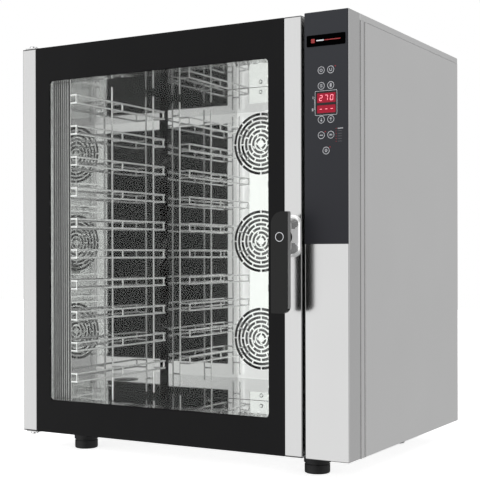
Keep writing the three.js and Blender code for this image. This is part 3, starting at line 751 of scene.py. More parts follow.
def split_sides(outline: Outline, longest: float, parts: int) -> Outline:
    """Cuts every side longer than a length into equal parts.

    Args:
        outline: a closed outline.
        longest: the length up to which a side stays whole.
        parts: the number of parts for a longer side.

    Returns:
        The outline with the added points.
    """
    result: Outline = []
    for (x0, z0), (x1, z1) in zip(outline, outline[1:] + outline[:1]):
        count = parts if math.hypot(x1 - x0, z1 - z0) > longest else 1
        result += [(x0 + (x1 - x0) * i / count, z0 + (z1 - z0) * i / count) for i in range(count)]
    return result


class Shape:
    """A mesh that is built from closed shapes and then finished as one piece."""

    def __init__(self) -> None:
        self.bm = bmesh.new()

    def merge(self, other: bmesh.types.BMesh, finish: int = 0) -> "Shape":
        """Adds another mesh's faces with one finish, and frees it."""
        for face in other.faces:
            face.material_index = finish
        mesh = bpy.data.meshes.new("part")
        other.to_mesh(mesh)
        other.free()
        self.bm.from_mesh(mesh)
        bpy.data.meshes.remove(mesh)
        return self

    def add_mesh(self, mesh: bpy.types.Mesh, finish: int = 0, place: Matrix | None = None,
                 weld: float = 0.0) -> "Shape":
        """Adds a mesh, moved by a matrix, and removes it."""
        other = bmesh.new()
        other.from_mesh(mesh)
        bpy.data.meshes.remove(mesh)
        if weld:
            bmesh.ops.remove_doubles(other, verts=other.verts, dist=weld)
        if place is not None:
            other.transform(place)
        return self.merge(other, finish)

    @staticmethod
    def _block(lo: Sequence[float], hi: Sequence[float]) -> bmesh.types.BMesh:
        """A plain block between two corners."""
        lo, hi = Vector(lo), Vector(hi)
        place = Matrix.Translation((lo + hi) / 2) @ Matrix.Diagonal((*(hi - lo), 1.0))
        part = bmesh.new()
        bmesh.ops.create_cube(part, size=1.0, matrix=place)
        return part

    def add_box(self, lo: Sequence[float], hi: Sequence[float], edge: float = 0.0,
                finish: int = 0, steps: int = 3) -> "Shape":
        """Adds a box whose edges are rounded."""
        part = self._block(lo, hi)
        if edge:
            bmesh.ops.bevel(part, geom=part.edges[:], offset=edge, segments=steps, profile=0.5,
                            affect="EDGES", clamp_overlap=True)
        return self.merge(part, finish)

    def add_tray(self, lo: Sequence[float], hi: Sequence[float], opening: Vector, wall: float,
                 edge: float, finish: int = 0) -> "Shape":
        """Adds a folded sheet box with one side left open, named by the way that it faces."""
        part = self._block(lo, hi)
        part.normal_update()
        side = [face for face in part.faces if face.normal.dot(opening) > 0.9]
        bmesh.ops.delete(part, geom=side, context="FACES_ONLY")
        folds = [e for e in part.edges if not e.is_boundary]
        bmesh.ops.bevel(part, geom=folds, offset=edge, segments=3, profile=0.5, affect="EDGES")
        part.normal_update()
        bmesh.ops.solidify(part, geom=part.faces[:], thickness=wall)
        return self.merge(part, finish)

    def add_loft(self, rings: Sequence[Sequence[Vector]], closed: bool = False,
                 finish: int = 0) -> "Shape":
        """Adds a skin over rings of equal count, with flat ends unless it closes on itself."""
        part = bmesh.new()
        loops = [[part.verts.new(point) for point in ring] for ring in rings]
        count = len(loops[0])
        following = loops[1:] + ([loops[0]] if closed else [])
        for near, far in zip(loops, following):
            for i in range(count):
                j = (i + 1) % count
                part.faces.new((near[i], near[j], far[j], far[i]))
        if not closed:
            part.faces.new(loops[0][::-1])
            part.faces.new(loops[-1])
        return self.merge(part, finish)

    def add_lathe(self, profile: Sequence[Point], centre: Sequence[float], axis: Axis = Axis.Z,
                  sides: int = 48, finish: int = 0, closed: bool = False) -> "Shape":
        """Adds a turned shape.

        Args:
            profile: radius and height of each step along the axis.
            centre: the point of height 0 on the axis.
            axis: the axis that it is turned about.
            sides: how many faces go round.
            finish: the place of its finish in the piece's list.
            closed: true for a ring, whose profile closes on itself.

        Returns:
            This shape.
        """
        u, v = [i for i in range(3) if i != axis.value]
        rings = []
        for radius, height in profile:
            ring = []
            for i in range(sides):
                turn = 2 * math.pi * i / sides
                point = Vector(centre)
                point[u] += radius * math.cos(turn)
                point[v] += radius * math.sin(turn)
                point[axis.value] += height
                ring.append(point)
            rings.append(ring)
        return self.add_loft(rings, closed, finish)

    def add_prism(self, outline: Outline, y: Point, front: float = 0.0, rear: float = 0.0,
                  finish: int = 0, steps: int = 3) -> "Shape":
        """Adds an outline in X and Z, drawn out between two depths, with rounded rims."""
        part = bmesh.new()
        near = [part.verts.new((x, y[0], z)) for x, z in outline]
        far = [part.verts.new((x, y[1], z)) for x, z in outline]
        for i in range(len(outline)):
            j = (i + 1) % len(outline)
            part.faces.new((near[i], near[j], far[j], far[i]))
        caps = [part.faces.new(near[::-1]), part.faces.new(far)]
        for cap, radius in zip(caps, (front, rear)):
            if radius:
                bmesh.ops.bevel(part, geom=list(cap.edges), offset=radius, segments=steps,
                                profile=0.5, affect="EDGES")
        return self.merge(part, finish)

    def add_plate(self, outer: Outline, holes: Sequence[Outline], y: Point, edge: float = 0.0,
                  finish: int = 0, turn: Matrix | None = None) -> "Shape":
        """Adds a flat plate with holes, in X and Z, between two depths.

        Args:
            outer: its outline.
            holes: the outlines of its holes.
            y: its front and rear depths.
            edge: how far its rims are rounded.
            finish: the place of its finish in the piece's list.
            turn: a matrix that turns the plate out of X and Z.

        Returns:
            This shape.
        """
        curve = bpy.data.curves.new("plate", "CURVE")
        curve.dimensions, curve.fill_mode = "2D", "BOTH"
        curve.extrude, curve.bevel_depth = (y[1] - y[0]) / 2 - edge, edge
        curve.offset, curve.bevel_resolution = -edge, 1
        for outline in (outer, *holes):
            spline = curve.splines.new("POLY")
            spline.points.add(len(outline) - 1)
            spline.use_cyclic_u = True
            for point, (u, v) in zip(spline.points, outline):
                point.co = (u, v, 0.0, 1.0)
        carrier = bpy.data.objects.new("plate", curve)
        mesh = bpy.data.meshes.new_from_object(carrier)
        bpy.data.objects.remove(carrier)
        bpy.data.curves.remove(curve)
        upright = Matrix.Translation((0.0, (y[0] + y[1]) / 2, 0.0)) @ Matrix.Rotation(
            math.pi / 2, 4, "X")
        return self.add_mesh(mesh, finish, (turn or Matrix()) @ upright, weld=1e-6)

    def add_ribbon(self, path: Outline, width: float, y: Point, closed: bool = False,
                   finish: int = 0) -> "Shape":
        """Adds a flat strip that follows a path in X and Z, between two depths."""
        rings = []
        for (x, z), along in zip(path, bearings(path, closed)):
            across = Vector((-along.y, along.x)).normalized() * (width / 2)
            rings.append([
                Vector((x + across.x, y[0], z + across.y)), Vector((x - across.x, y[0], z - across.y)),
                Vector((x - across.x, y[1], z - across.y)), Vector((x + across.x, y[1], z + across.y)),
            ])
        return self.add_loft(rings, closed, finish)

    def add_tube(self, path: Sequence[Vector], radius: float, sides: int = 12,
                 closed: bool = False, finish: int = 0) -> "Shape":
        """Adds a round tube along a path."""
        rings = []
        up = Vector((0.12, 0.21, 0.97))
        for point, step in zip(path, bearings(path, closed)):
            along = step.normalized()
            side = along.cross(up).normalized()
            top = side.cross(along)
            ring = []
            for k in range(sides):
                turn = 2 * math.pi * k / sides
                ring.append(point + side * (radius * math.cos(turn)) + top * (radius * math.sin(turn)))
            rings.append(ring)
        return self.add_loft(rings, closed, finish)

    def make(self, name: str, body: str, finishes: Sequence[bpy.types.Material], slot: str,
             replaces: Sequence[str] = (), crease: float = 38.0) -> bpy.types.Object:
        """Ends the mesh and places it as a piece.

        Args:
            name: the piece's name.
            body: the body of the frame that it moves with.
            finishes: its materials, by place.
            slot: the material slot that it takes its finish from.
            replaces: the nodes of the frame that it stands for.
            crease: the angle in degrees past which an edge stays sharp.

        Returns:
            The piece.
        """
        bmesh.ops.recalc_face_normals(self.bm, faces=self.bm.faces[:])
        open_edges = sum(1 for edge in self.bm.edges if len(edge.link_faces) != 2)
        mesh = bpy.data.meshes.new(name)
        self.bm.to_mesh(mesh)
        self.bm.free()
        for finish in finishes:
            mesh.materials.append(finish)
        mesh.polygons.foreach_set("use_smooth", [True] * len(mesh.polygons))
        mesh.set_sharp_from_angle(angle=math.radians(crease))
        piece = bpy.data.objects.new(name, mesh)
        bpy.context.scene.collection.objects.link(piece)
        weigh = piece.modifiers.new("weigh", "WEIGHTED_NORMAL")
        weigh.keep_sharp = True
        graph = bpy.context.evaluated_depsgraph_get()
        piece.data = bpy.data.meshes.new_from_object(piece.evaluated_get(graph), depsgraph=graph)
        piece.modifiers.clear()
        bpy.data.meshes.remove(mesh)
        piece.data.name = name
        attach(piece, body)
        if replaces:
            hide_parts(*replaces)
        log.info("%s: %d faces, %d open edges", name, len(piece.data.polygons), open_edges)
        return piece


def dress(material: bpy.types.Material, *nodes: str) -> None:
    """Gives nodes of the frame that stay in view their finish."""
    for name in nodes:
        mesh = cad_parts[name].data
        mesh.materials.clear()
        mesh.materials.append(material)


def seed_mesh(points: Sequence[Sequence[float]], pairs: list[tuple[int, int]]) -> bpy.types.Mesh:
    """A mesh of points and edges, as a seed for a tree."""
    mesh = bpy.data.meshes.new("seed")
    mesh.from_pydata([tuple(p) for p in points], pairs, [])
    return mesh


def edges_mesh(points: Sequence[Sequence[float]]) -> bpy.types.Mesh:
    """A mesh of points joined into one open line, as a seed for a tree."""
    return seed_mesh(points, [(i, i + 1) for i in range(len(points) - 1)])


def points_mesh(points: Sequence[Sequence[float]]) -> bpy.types.Mesh:
    """A mesh of loose points, as a seed for a tree."""
    return seed_mesh(points, [])


# ---------------------------------------------------------------------------------------------
# Trees for what repeats
# ---------------------------------------------------------------------------------------------


def wire_tree() -> Geo:
    """Bent round wires: the seed's edges, swept and copied over two rows of points."""
    geo = Geo("bent_wires")
    curve = geo.node("GeometryNodeMeshToCurve", None, {0: geo.source_geometry()})[0]
    bend = geo.node("GeometryNodeFilletCurve", {"mode": "POLY"}, {
        "Curve": curve, "Count": 4, "Radius": geo.size("Bend"), "Limit Radius": True})[0]
    section = geo.node("GeometryNodeCurvePrimitiveCircle", None, {
        "Resolution": geo.size("Sides", "Int"), "Radius": geo.size("Radius")})["Curve"]
    wire = geo.swept(bend, section)
    rows = geo.points(geo.size("Rows", "Int"), geo.size("Row step", "Vector"))
    across = geo.points(geo.size("Columns", "Int"), geo.size("Column step", "Vector"))
    grid = geo.real(geo.copies(rows, across))
    return geo.close(geo.copies(grid, wire))


def grille_tree() -> Geo:
    """A round fan grille in X and Z: rings with staggered bridges, fewer of them near the middle."""
    geo = Geo("fan_grille")
    rings = geo.size("Rings", "Int")
    outer, pitch = geo.size("Outer"), geo.size("Pitch")
    land, sheet = geo.size("Land"), geo.size("Sheet")
    per_ring = geo.size("Bridges", "Int")
    place = geo.node("GeometryNodeInputIndex")[0]
    upright = (math.pi / 2, 0.0, 0.0)

    circles = geo.points(rings, (0.0, 0.0, 0.0))
    unit = geo.node("GeometryNodeCurvePrimitiveCircle", None, {"Resolution": 64, "Radius": 1.0})["Curve"]
    radius = outer - pitch * place
    sized = geo.real(geo.copies(circles, unit, scale=geo.vector(radius, radius, 1.0)))
    bar = geo.node("GeometryNodeCurvePrimitiveQuadrilateral", None, {
        "Width": land, "Height": sheet})[0]
    lands = geo.swept(sized, bar)

    spots = geo.points(rings * per_ring, (0.0, 0.0, 0.0))
    ring = (place / per_ring + 0.001).floor()
    turn = (place % per_ring + ((ring + 1.0) % 2.0) * 0.5) * (2 * math.pi) / per_ring
    reach = outer - pitch * ring - pitch * 0.5
    spot = geo.vector(turn.wave("COSINE") * reach, turn.wave("SINE") * reach, 0.0)
    moved = geo.node("GeometryNodeSetPosition", None, {"Geometry": spots, "Position": spot})[0]
    spare = (ring > 3.5) * ((place % 2.0) > 0.5)
    moved = geo.node("GeometryNodeDeleteGeometry", {"domain": "POINT"}, {
        "Geometry": moved, "Selection": spare})[0]
    bridge = geo.node("GeometryNodeMeshCube", None, {
        "Size": geo.vector(pitch - land * 0.9, geo.size("Bridge"), sheet * 0.94)})[0]
    bridges = geo.copies(moved, bridge, rotation=geo.vector(0.0, 0.0, turn))

    flat = geo.together(lands, bridges)
    turned = geo.node("GeometryNodeTransform", None, {
        "Geometry": geo.real(flat), "Rotation": upright})[0]
    return geo.close(geo.copies(geo.source_geometry(), turned))


def screw_tree() -> Geo:
    """Low domed screws with a cross recess, one on each of the seed's points, turned as one."""
    geo = Geo("screws")
    radius, rise = geo.size("Radius"), geo.size("Rise")
    up = geo.node("GeometryNodeTransform", None, {
        "Geometry": geo.node("GeometryNodeMeshCone", None, {
            "Vertices": 20, "Side Segments": 3, "Radius Top": radius * 0.62,
            "Radius Bottom": radius, "Depth": rise})[0]})[0]
    recess = [
        geo.node("GeometryNodeTransform", None, {
            "Geometry": geo.node("GeometryNodeMeshCube", None, {
                "Size": geo.vector(radius * 0.9, radius * 0.16, rise * 0.3)})[0],
            "Translation": geo.vector(0.0, 0.0, rise), "Rotation": (0.0, 0.0, turn)})[0]
        for turn in (math.pi / 4, -math.pi / 4)
    ]
    shape = geo.together(up, *recess)
    return geo.close(geo.copies(geo.source_geometry(), shape, rotation=geo.size("Turn", "Vector")))


def blade_tree() -> Geo:
    """Curved fan blades round an axis along Y through the seed's point."""
    geo = Geo("fan_blades")
    count = geo.size("Blades", "Int")
    place = geo.node("GeometryNodeInputIndex")[0]
    points = geo.points(count, (0.0, 0.0, 0.0))
    bend = geo.node("GeometryNodeCurveArc", {"mode": "RADIUS"}, {
        "Resolution": 8, "Radius": geo.size("Curve"), "Start Angle": 0.0,
        "Sweep Angle": geo.size("Sweep")})["Curve"]
    bar = geo.node("GeometryNodeCurvePrimitiveQuadrilateral", None, {
        "Width": geo.size("Sheet"), "Height": geo.size("Depth")})[0]
    blade = geo.node("GeometryNodeTransform", None, {
        "Geometry": geo.swept(bend, bar), "Translation": geo.size("Shift", "Vector")})[0]
    turn = place * (2 * math.pi) / count
    ring = geo.copies(points, blade, rotation=geo.vector(0.0, 0.0, turn))
    upright = geo.node("GeometryNodeTransform", None, {
        "Geometry": geo.real(ring), "Rotation": (math.pi / 2, 0.0, 0.0)})[0]
    return geo.close(geo.copies(geo.source_geometry(), upright))


def louvre_tree() -> Geo:
    """Pressed louvre hoods: the seed's closed profile is copied down a row at each column."""
    geo = Geo("louvres")
    rows = geo.points(geo.size("Rows", "Int"), geo.size("Row step", "Vector"))
    across = geo.points(geo.size("Columns", "Int"), geo.size("Column step", "Vector"))
    grid = geo.real(geo.copies(rows, across))
    return geo.close(geo.copies(grid, geo.source_geometry()))


# ---------------------------------------------------------------------------------------------
# The oven's sub-assemblies
# ---------------------------------------------------------------------------------------------


@dataclass
class Casing:
    """The feet, side panels, top cover, rear cover and the frame round the door."""

    paint: Finishes
    edge: float = 2.2 * MM
    sheet: float = 1.5 * MM
    bead_rise: float = 1.2 * MM
    fold_at: float = 26.7 * MM
    seam_at: float = 5.0 * MM
    screw: float = 4.2 * MM
    screw_rows: int = 5
    hood_half: float = 60.0 * MM
    hood_rise: float = 9.0 * MM
    hood_depth: float = 5.0 * MM
    hood_rows: int = 4
    hood_pitch: float = 30.0 * MM
    hood_offset: float = 310.0 * MM
    hood_from: float = 645.0 * MM

    def build(self) -> None:
        """Builds every piece of the casing."""
        dress(self.paint.frame, "front_frame")
        dress(self.paint.panel, "rear_cover")
        dress(self.paint.zinc, "base_pan")
        for side in SIDES:
            self._side_panel(side)
            for end in ("front", "rear"):
                self._foot(f"foot_{end}_{side}")
        self._top_cover()
        self._front_beads()
        self._rear_fittings()

    def _side_panel(self, side: str) -> None:
        """A flat side panel with rounded edges."""
        span = Span.of(f"side_panel_{side}")
        shape = Shape().add_box(span.lo, span.hi, self.sheet * 0.45, steps=3)
        shape.make(f"side_sheet_{side}", "root", [self.paint.panel], "steel_satin",
                   [f"side_panel_{side}"])

    @staticmethod
    def _lines(shape: Shape, start: float, width: float, rise: float, edge: float) -> None:
        """Adds one upright line to both sides of the front frame.

        Args:
            shape: the shape that the lines go into.
            start: how far behind the frame's face a line starts.
            width: how wide it is.
            rise: how far it stands out from the side.
            edge: how far its edges are rounded.
        """
        plate = Span.of("front_frame")
        for side, outward in ((plate.lo.x, -1), (plate.hi.x, 1)):
            y0 = plate.lo.y + start
            x = sorted((side - outward * 0.5 * MM, side + outward * rise))
            shape.add_box((x[0], y0, plate.lo.z), (x[1], y0 + width, plate.hi.z), edge)

    def _front_beads(self) -> None:
        """Rounded folds down both sides, where the front frame meets the panels."""
        folds, seams = Shape(), Shape()
        for start, width in ((self.seam_at - 3 * MM, 4 * MM), (self.fold_at - 2.5 * MM, 5 * MM)):
            self._lines(folds, start, width, self.bead_rise, self.bead_rise * 0.8)
        folds.make("front_folds", "root", [self.paint.front], "steel_satin")
        self._lines(seams, self.seam_at - 4.0 * MM, 0.8 * MM, 0.15 * MM, 0.1 * MM)
        seams.make("front_seams", "root", [self.paint.seal], "gasket_rubber")

    def _top_cover(self) -> None:
        """The top cover: a folded tray with a rounded rim."""
        span = Span.of("top_cover")
        shape = Shape().add_tray(span.lo, span.hi, Vector((0, 0, -1)), self.sheet, self.edge)
        shape.make("top_sheet", "root", [self.paint.panel], "steel_satin", ["top_cover"])

    def _foot(self, node: str) -> None:
        """A turned foot with a flared pad, a waist and a flange under the casing."""
        span = Span.of(node)
        radius, height = span.size.x / 2, span.size.z
        centre = (span.mid.x, span.mid.y, span.lo.z)
        pad = [(0.0, 0.0), (radius * 0.86, 0.0), (radius * 0.93, 1.2 * MM), (radius * 0.95, 4 * MM)]
        groove = [(radius * 0.95, height * 0.42), (radius * 0.90, height * 0.44),
                  (radius * 0.90, height * 0.5), (radius, height * 0.52)]
        flange = [(radius, height - 4 * MM), (radius * 0.98, height - 1.5 * MM),
                  (radius * 0.94, height), (0.0, height)]
        profile = [(max(r, CORE), z) for r, z in pad + groove + flange]
        Shape().add_lathe(profile, centre, sides=64).make(
            node.replace("foot", "rubber_foot"), "root", [self.paint.foot], "foot_rubber", [node])

    def _rear_fittings(self) -> None:
        """Screws round the rear cover and hoods over its louvre slots."""
        rear, oven = Span.of("rear_cover"), Span.of("side_panel_left")
        x0, x1 = rear.lo.x + 14 * MM, rear.hi.x - 14 * MM
        z0, z1 = oven.lo.z + 20 * MM, oven.hi.z - 30 * MM
        steps = self.screw_rows - 1
        heights = [z0 + (z1 - z0) * i / steps for i in range(self.screw_rows)]
        spots = [(x, rear.hi.y, z) for z in heights for x in (x0, x1)]
        screws = screw_tree().grow(points_mesh(spots), self.paint.chrome, radius=self.screw,
                                   rise=1.6 * MM, turn=(-math.pi / 2, 0.0, 0.0))
        Shape().add_mesh(screws).make("rear_screws", "root", [self.paint.chrome], "chrome_cast")

        outline = rounded((-self.hood_half, self.hood_half), (0.0, self.hood_rise), 4 * MM)
        hood = Shape().add_prism(outline, (-0.2 * MM, self.hood_depth), rear=3.5 * MM)
        seed = bpy.data.meshes.new("hood")
        hood.bm.to_mesh(seed)
        hood.bm.free()
        first = Vector((-self.hood_offset, rear.hi.y, rear.lo.z + self.hood_from))
        seed.transform(Matrix.Translation(first))
        hoods = louvre_tree().grow(
            seed, self.paint.panel, rows=self.hood_rows, row_step=(0.0, 0.0, self.hood_pitch),
            columns=2, column_step=(2 * self.hood_offset, 0.0, 0.0))
        Shape().add_mesh(hoods).make("rear_louvres", "root", [self.paint.panel], "steel_satin")


class Icon(Enum):
    """The generic mark on each key."""

    POWER = "key_power"
    CUP = "key_steam"
    PROGRAM = "key_program"
    CORE = "key_fan"
    DOWN = "key_down"
    UP = "key_up"
    CLOCK = "key_timer"
    STEP = "key_phase"
    LIGHT = "key_light"


@dataclass
class Controls:
    """The control column with its overlay, keys, display and badge."""

    paint: Finishes
    edge: float = 2.4 * MM
    sheet: float = 1.5 * MM
    line: float = 0.8 * MM
    ring: float = 7.6 * MM
    digit_rise: float = 11.5 * MM
    digit_width: float = 6.2 * MM
    stroke: float = 1.35 * MM
    badge_inset: float = 11.0 * MM
    badge_tile: float = 9.0 * MM

    def build(self) -> None:
        """Builds every piece of the controls."""
        column = Span.of("control_column")
        Shape().add_tray(column.lo, column.hi, Vector((0, 1, 0)), self.sheet, self.edge).make(
            "column_sheet", "root", [self.paint.front], "steel_brushed", ["control_column"])
        dress(self.paint.board, "control_board")
        self._overlay()
        for icon in Icon:
            self._key(icon)
        self._display()
        self._marks()
        self._badge()

    def _overlay(self) -> None:
        """The printed film, with a hole for each key and for the display."""
        film, screen = Span.of("control_overlay"), Span.of("display_module").grown(0.3 * MM)
        holes = [rounded((screen.lo.x, screen.hi.x), (screen.lo.z, screen.hi.z), 1.0 * MM, 3)]
        for icon in Icon:
            key = Span.of(icon.value)
            holes.append(circle((key.mid.x, key.mid.z), key.size.z / 2 + 0.25 * MM, 40))
        outer = rounded((film.lo.x, film.hi.x), (film.lo.z, film.hi.z), 1.5 * MM)
        Shape().add_plate(outer, holes, (film.lo.y, film.hi.y), 0.3 * MM).make(
            "overlay_sheet", "root", [self.paint.film], "overlay_film", ["control_overlay"])

    def _key(self, icon: Icon) -> None:
        """A round key with a raised ring and its mark."""
        span = Span.of(icon.value)
        radius = span.size.x / 2
        rim = 0.3 * MM
        x, z = span.mid.x, span.mid.z
        depth = span.size.y
        profile = [(CORE, 0.0), (radius - rim, 0.0), (radius - rim * 0.3, rim * 0.3),
                   (radius, rim), (radius, depth), (CORE, depth)]
        y = (span.lo.y - 0.08 * MM, span.lo.y + 0.1 * MM)
        shape = Shape().add_lathe(profile, (x, span.lo.y, z), Axis.Y, 48)
        shape.add_ribbon(circle((x, z), self.ring, 40), self.line, y, True, 1)
        for path, closed in self._strokes(icon):
            moved = [(x + u * MM, z + v * MM) for u, v in path]
            shape.add_ribbon(moved, self.line, y, closed, 1)
        shape.make(icon.value.replace("key_", "button_"), icon.value,
                   [self.paint.key, self.paint.print], "key_film", [icon.value])

    @staticmethod
    def _strokes(icon: Icon) -> list[tuple[Outline, bool]]:
        """The lines of a key's mark in millimetres from its middle, and whether each closes."""
        marks: dict[Icon, list[tuple[Outline, bool]]] = {
            Icon.POWER: [(arc((0, 0), 2.9, 125, 415, 18), False), ([(0, 0.6), (0, 3.8)], False)],
            Icon.CUP: [([(-2.6, 3.0), (-2.6, 0.0), *arc((0, 0), 2.6, 180, 360, 10), (2.6, 3.0)],
                        False)],
            Icon.PROGRAM: [(arc((0, 0), 3.0, 20, 160, 10), False),
                           (arc((0, 0), 3.0, 200, 340, 10), False), (circle((0, 0), 0.7, 12), True)],
            Icon.CORE: [(rounded((-1.4, 1.4), (-3.8, 3.8), 1.4, 5), True),
                        ([(0, -2.2), (0, 1.6)], False)],
            Icon.DOWN: [([(0, 3.6), (0, -3.4)], False), ([(-2.6, -0.8), (0, -3.6), (2.6, -0.8)], False)],
            Icon.UP: [([(0, -3.6), (0, 3.4)], False), ([(-2.6, 0.8), (0, 3.6), (2.6, 0.8)], False)],
            Icon.CLOCK: [(circle((-2.4, 0), 0.6, 10), True), (circle((0, 0), 0.6, 10), True),
                         (circle((2.4, 0), 0.6, 10), True)],
            Icon.STEP: [([(-3.2, 0.9), (3.2, 0.9)], False), ([(-3.2, -0.9), (3.2, -0.9)], False)],
            Icon.LIGHT: [(arc((0, 0.6), 2.4, -50, 230, 14), False), ([(-1.3, -2.6), (1.3, -2.6)], False),
                         ([(-1.5, -1.3), (1.5, -1.3)], False)],
        }
        return marks[icon]

    def _segments(self, shape: Shape, lit: str, at: Point, y: Point) -> None:
        """Adds the lit bars of one seven-bar digit, whose middle is at a point."""
        w, h = self.digit_width / 2, self.digit_rise / 2
        gap = self.stroke * 0.35
        bars = {
            "a": ((-w + gap, h), (w - gap, h)), "g": ((-w + gap, 0), (w - gap, 0)),
            "d": ((-w + gap, -h), (w - gap, -h)), "f": ((-w, h - gap), (-w, gap)),
            "b": ((w, h - gap), (w, gap)), "e": ((-w, -gap), (-w, -h + gap)),
            "c": ((w, -gap), (w, -h + gap)),
        }
        lean = 0.08
        for name in lit:
            path = [(at[0] + u + lean * v, at[1] + v) for u, v in bars[name]]
            shape.add_ribbon(path, self.stroke, y, False, 0)

    def _display(self) -> None:
        """The display: a dark frame, two lit red windows and their digits."""
        span = Span.of("display_module")
        front = span.lo.y
        x = (span.lo.x + 3.5 * MM, span.hi.x - 3.0 * MM)
        upper = (span.hi.z - 25.0 * MM, span.hi.z - 4.0 * MM)
        lower = (span.lo.z + 4.0 * MM, span.lo.z + 21.0 * MM)
        frame_outline = rounded((span.lo.x, span.hi.x), (span.lo.z, span.hi.z), 1.0 * MM, 3)
        openings = [rounded(x, upper, 0.8 * MM, 3), rounded(x, lower, 0.8 * MM, 3)]
        shape = Shape().add_plate(frame_outline, openings, (front, front + 2 * MM), 0.2 * MM)
        shape.add_box((span.lo.x + 1 * MM, front + 1.9 * MM, span.lo.z + 1 * MM),
                      (span.hi.x - 1 * MM, span.hi.y, span.hi.z - 1 * MM), 0.5 * MM)
        for z in (upper, lower):
            shape.add_box((x[0] - 0.5 * MM, front + 0.5 * MM, z[0] - 0.5 * MM),
                          (x[1] + 0.5 * MM, front + 2.2 * MM, z[1] + 0.5 * MM), 0.2 * MM, 1)
        shape.make("display_screen", "root", [self.paint.screen, self.paint.window],
                   "display_black", ["display_module"])
        digits = Shape()
        y = (front + 0.32 * MM, front + 0.6 * MM)
        middle = sum(x) / 2
        pitch = 13.0 * MM
        for i, lit in enumerate(("abged", "abc", "abcdef")):
            self._segments(digits, lit, (middle + (i - 1) * pitch, sum(upper) / 2), y)
        for i in range(3):
            self._segments(digits, "g", (middle + (i - 1) * pitch, sum(lower) / 2), y)
        digits.make("display_digits", "root", [self.paint.digit], "display_black")

    def _marks(self) -> None:
        """Printed lines and small lights on the film."""
        film, screen = Span.of("control_overlay"), Span.of("display_module")
        y = (film.lo.y - 0.06 * MM, film.lo.y + 0.1 * MM)
        printed = Shape()
        border = screen.grown(0.8 * MM)
        outline = rounded((border.lo.x, border.hi.x), (border.lo.z, border.hi.z), 1.6 * MM, 4)
        printed.add_ribbon(outline, 0.65 * MM, y, True)
        stem = screen.lo.x - 2.6 * MM
        printed.add_ribbon([(stem, screen.lo.z + 14.0 * MM), (stem, screen.hi.z - 15.0 * MM)],
                           0.5 * MM, y)
        for z, bars in ((screen.hi.z - 13.0 * MM, 1), (screen.lo.z + 12.5 * MM, 2)):
            x = screen.lo.x - 6.0 * MM
            printed.add_ribbon([(x + 2.4 * MM, z), (screen.lo.x - 1.2 * MM, z)], 0.5 * MM, y)
            for i in range(bars):
                bar = x - i * 2.0 * MM
                printed.add_ribbon([(bar, z - 3.0 * MM), (bar, z + 3.0 * MM)], 0.9 * MM, y)
        phase = Span.of(Icon.STEP.value)
        for i in range(6):
            z = phase.mid.z + (13.0 - 5.6 * i) * MM
            x = phase.hi.x + 8.0 * MM
            width, length = (1.2 * MM, 13.0 * MM) if i == 0 else (0.8 * MM, 10.0 * MM)
            printed.add_ribbon([(x, z), (x + length, z)], width, y, finish=0 if i == 0 else 1)
        printed.make("overlay_lines", "root", [self.paint.print, self.paint.faint], "overlay_film")
        lights = Shape()
        cup = Span.of(Icon.CUP.value)
        spots = [(cup.hi.x + 2.5 * MM, cup.hi.z - 1.5 * MM)]
        spots += [(phase.hi.x + 4.2 * MM, phase.mid.z + (13.0 - 5.6 * i) * MM) for i in range(6)]
        for name in (Icon.CLOCK, Icon.LIGHT):
            key = Span.of(name.value)
            spots.append((key.hi.x + 1.2 * MM, key.hi.z - 1.0 * MM))
        for x, z in spots:
            radius = 0.55 * MM if x > phase.hi.x + 3 * MM else 0.85 * MM
            lights.add_lathe([(CORE, -0.3 * MM), (radius * 0.75, -0.25 * MM), (radius, 0.0),
                              (radius, 0.3 * MM), (CORE, 0.3 * MM)],
                             (x, film.lo.y, z), Axis.Y, 16)
        lights.make("overlay_lights", "root", [self.paint.led], "display_black")

    def _badge(self) -> None:
        """A plain gloss plate with a small red tile, a grey line and a red line."""
        span = Span.of("badge_plate")
        shape = Shape().add_prism(rounded((span.lo.x, span.hi.x), (span.lo.z, span.hi.z), 2.2 * MM),
                                  (span.lo.y, span.hi.y), front=0.35 * MM)
        y = (span.lo.y - 0.08 * MM, span.lo.y + 0.1 * MM)
        z = span.mid.z
        left, right = span.lo.x + self.badge_inset, span.hi.x - self.badge_inset
        half = self.badge_tile / 2
        tile = rounded((left, left + self.badge_tile), (z - half, z + half), 1.5 * MM)
        shape.add_prism(tile, y, finish=1)
        shape.add_ribbon([(left + 13 * MM, z), (left + 31 * MM, z)], 2.4 * MM, y, finish=2)
        shape.add_ribbon([(left + 32.5 * MM, z), (right, z)], 2.0 * MM, y, finish=1)
        shape.make("badge_tile", "root", [self.paint.badge, self.paint.badge_red, self.paint.print],
                   "badge_gloss", ["badge_plate"])


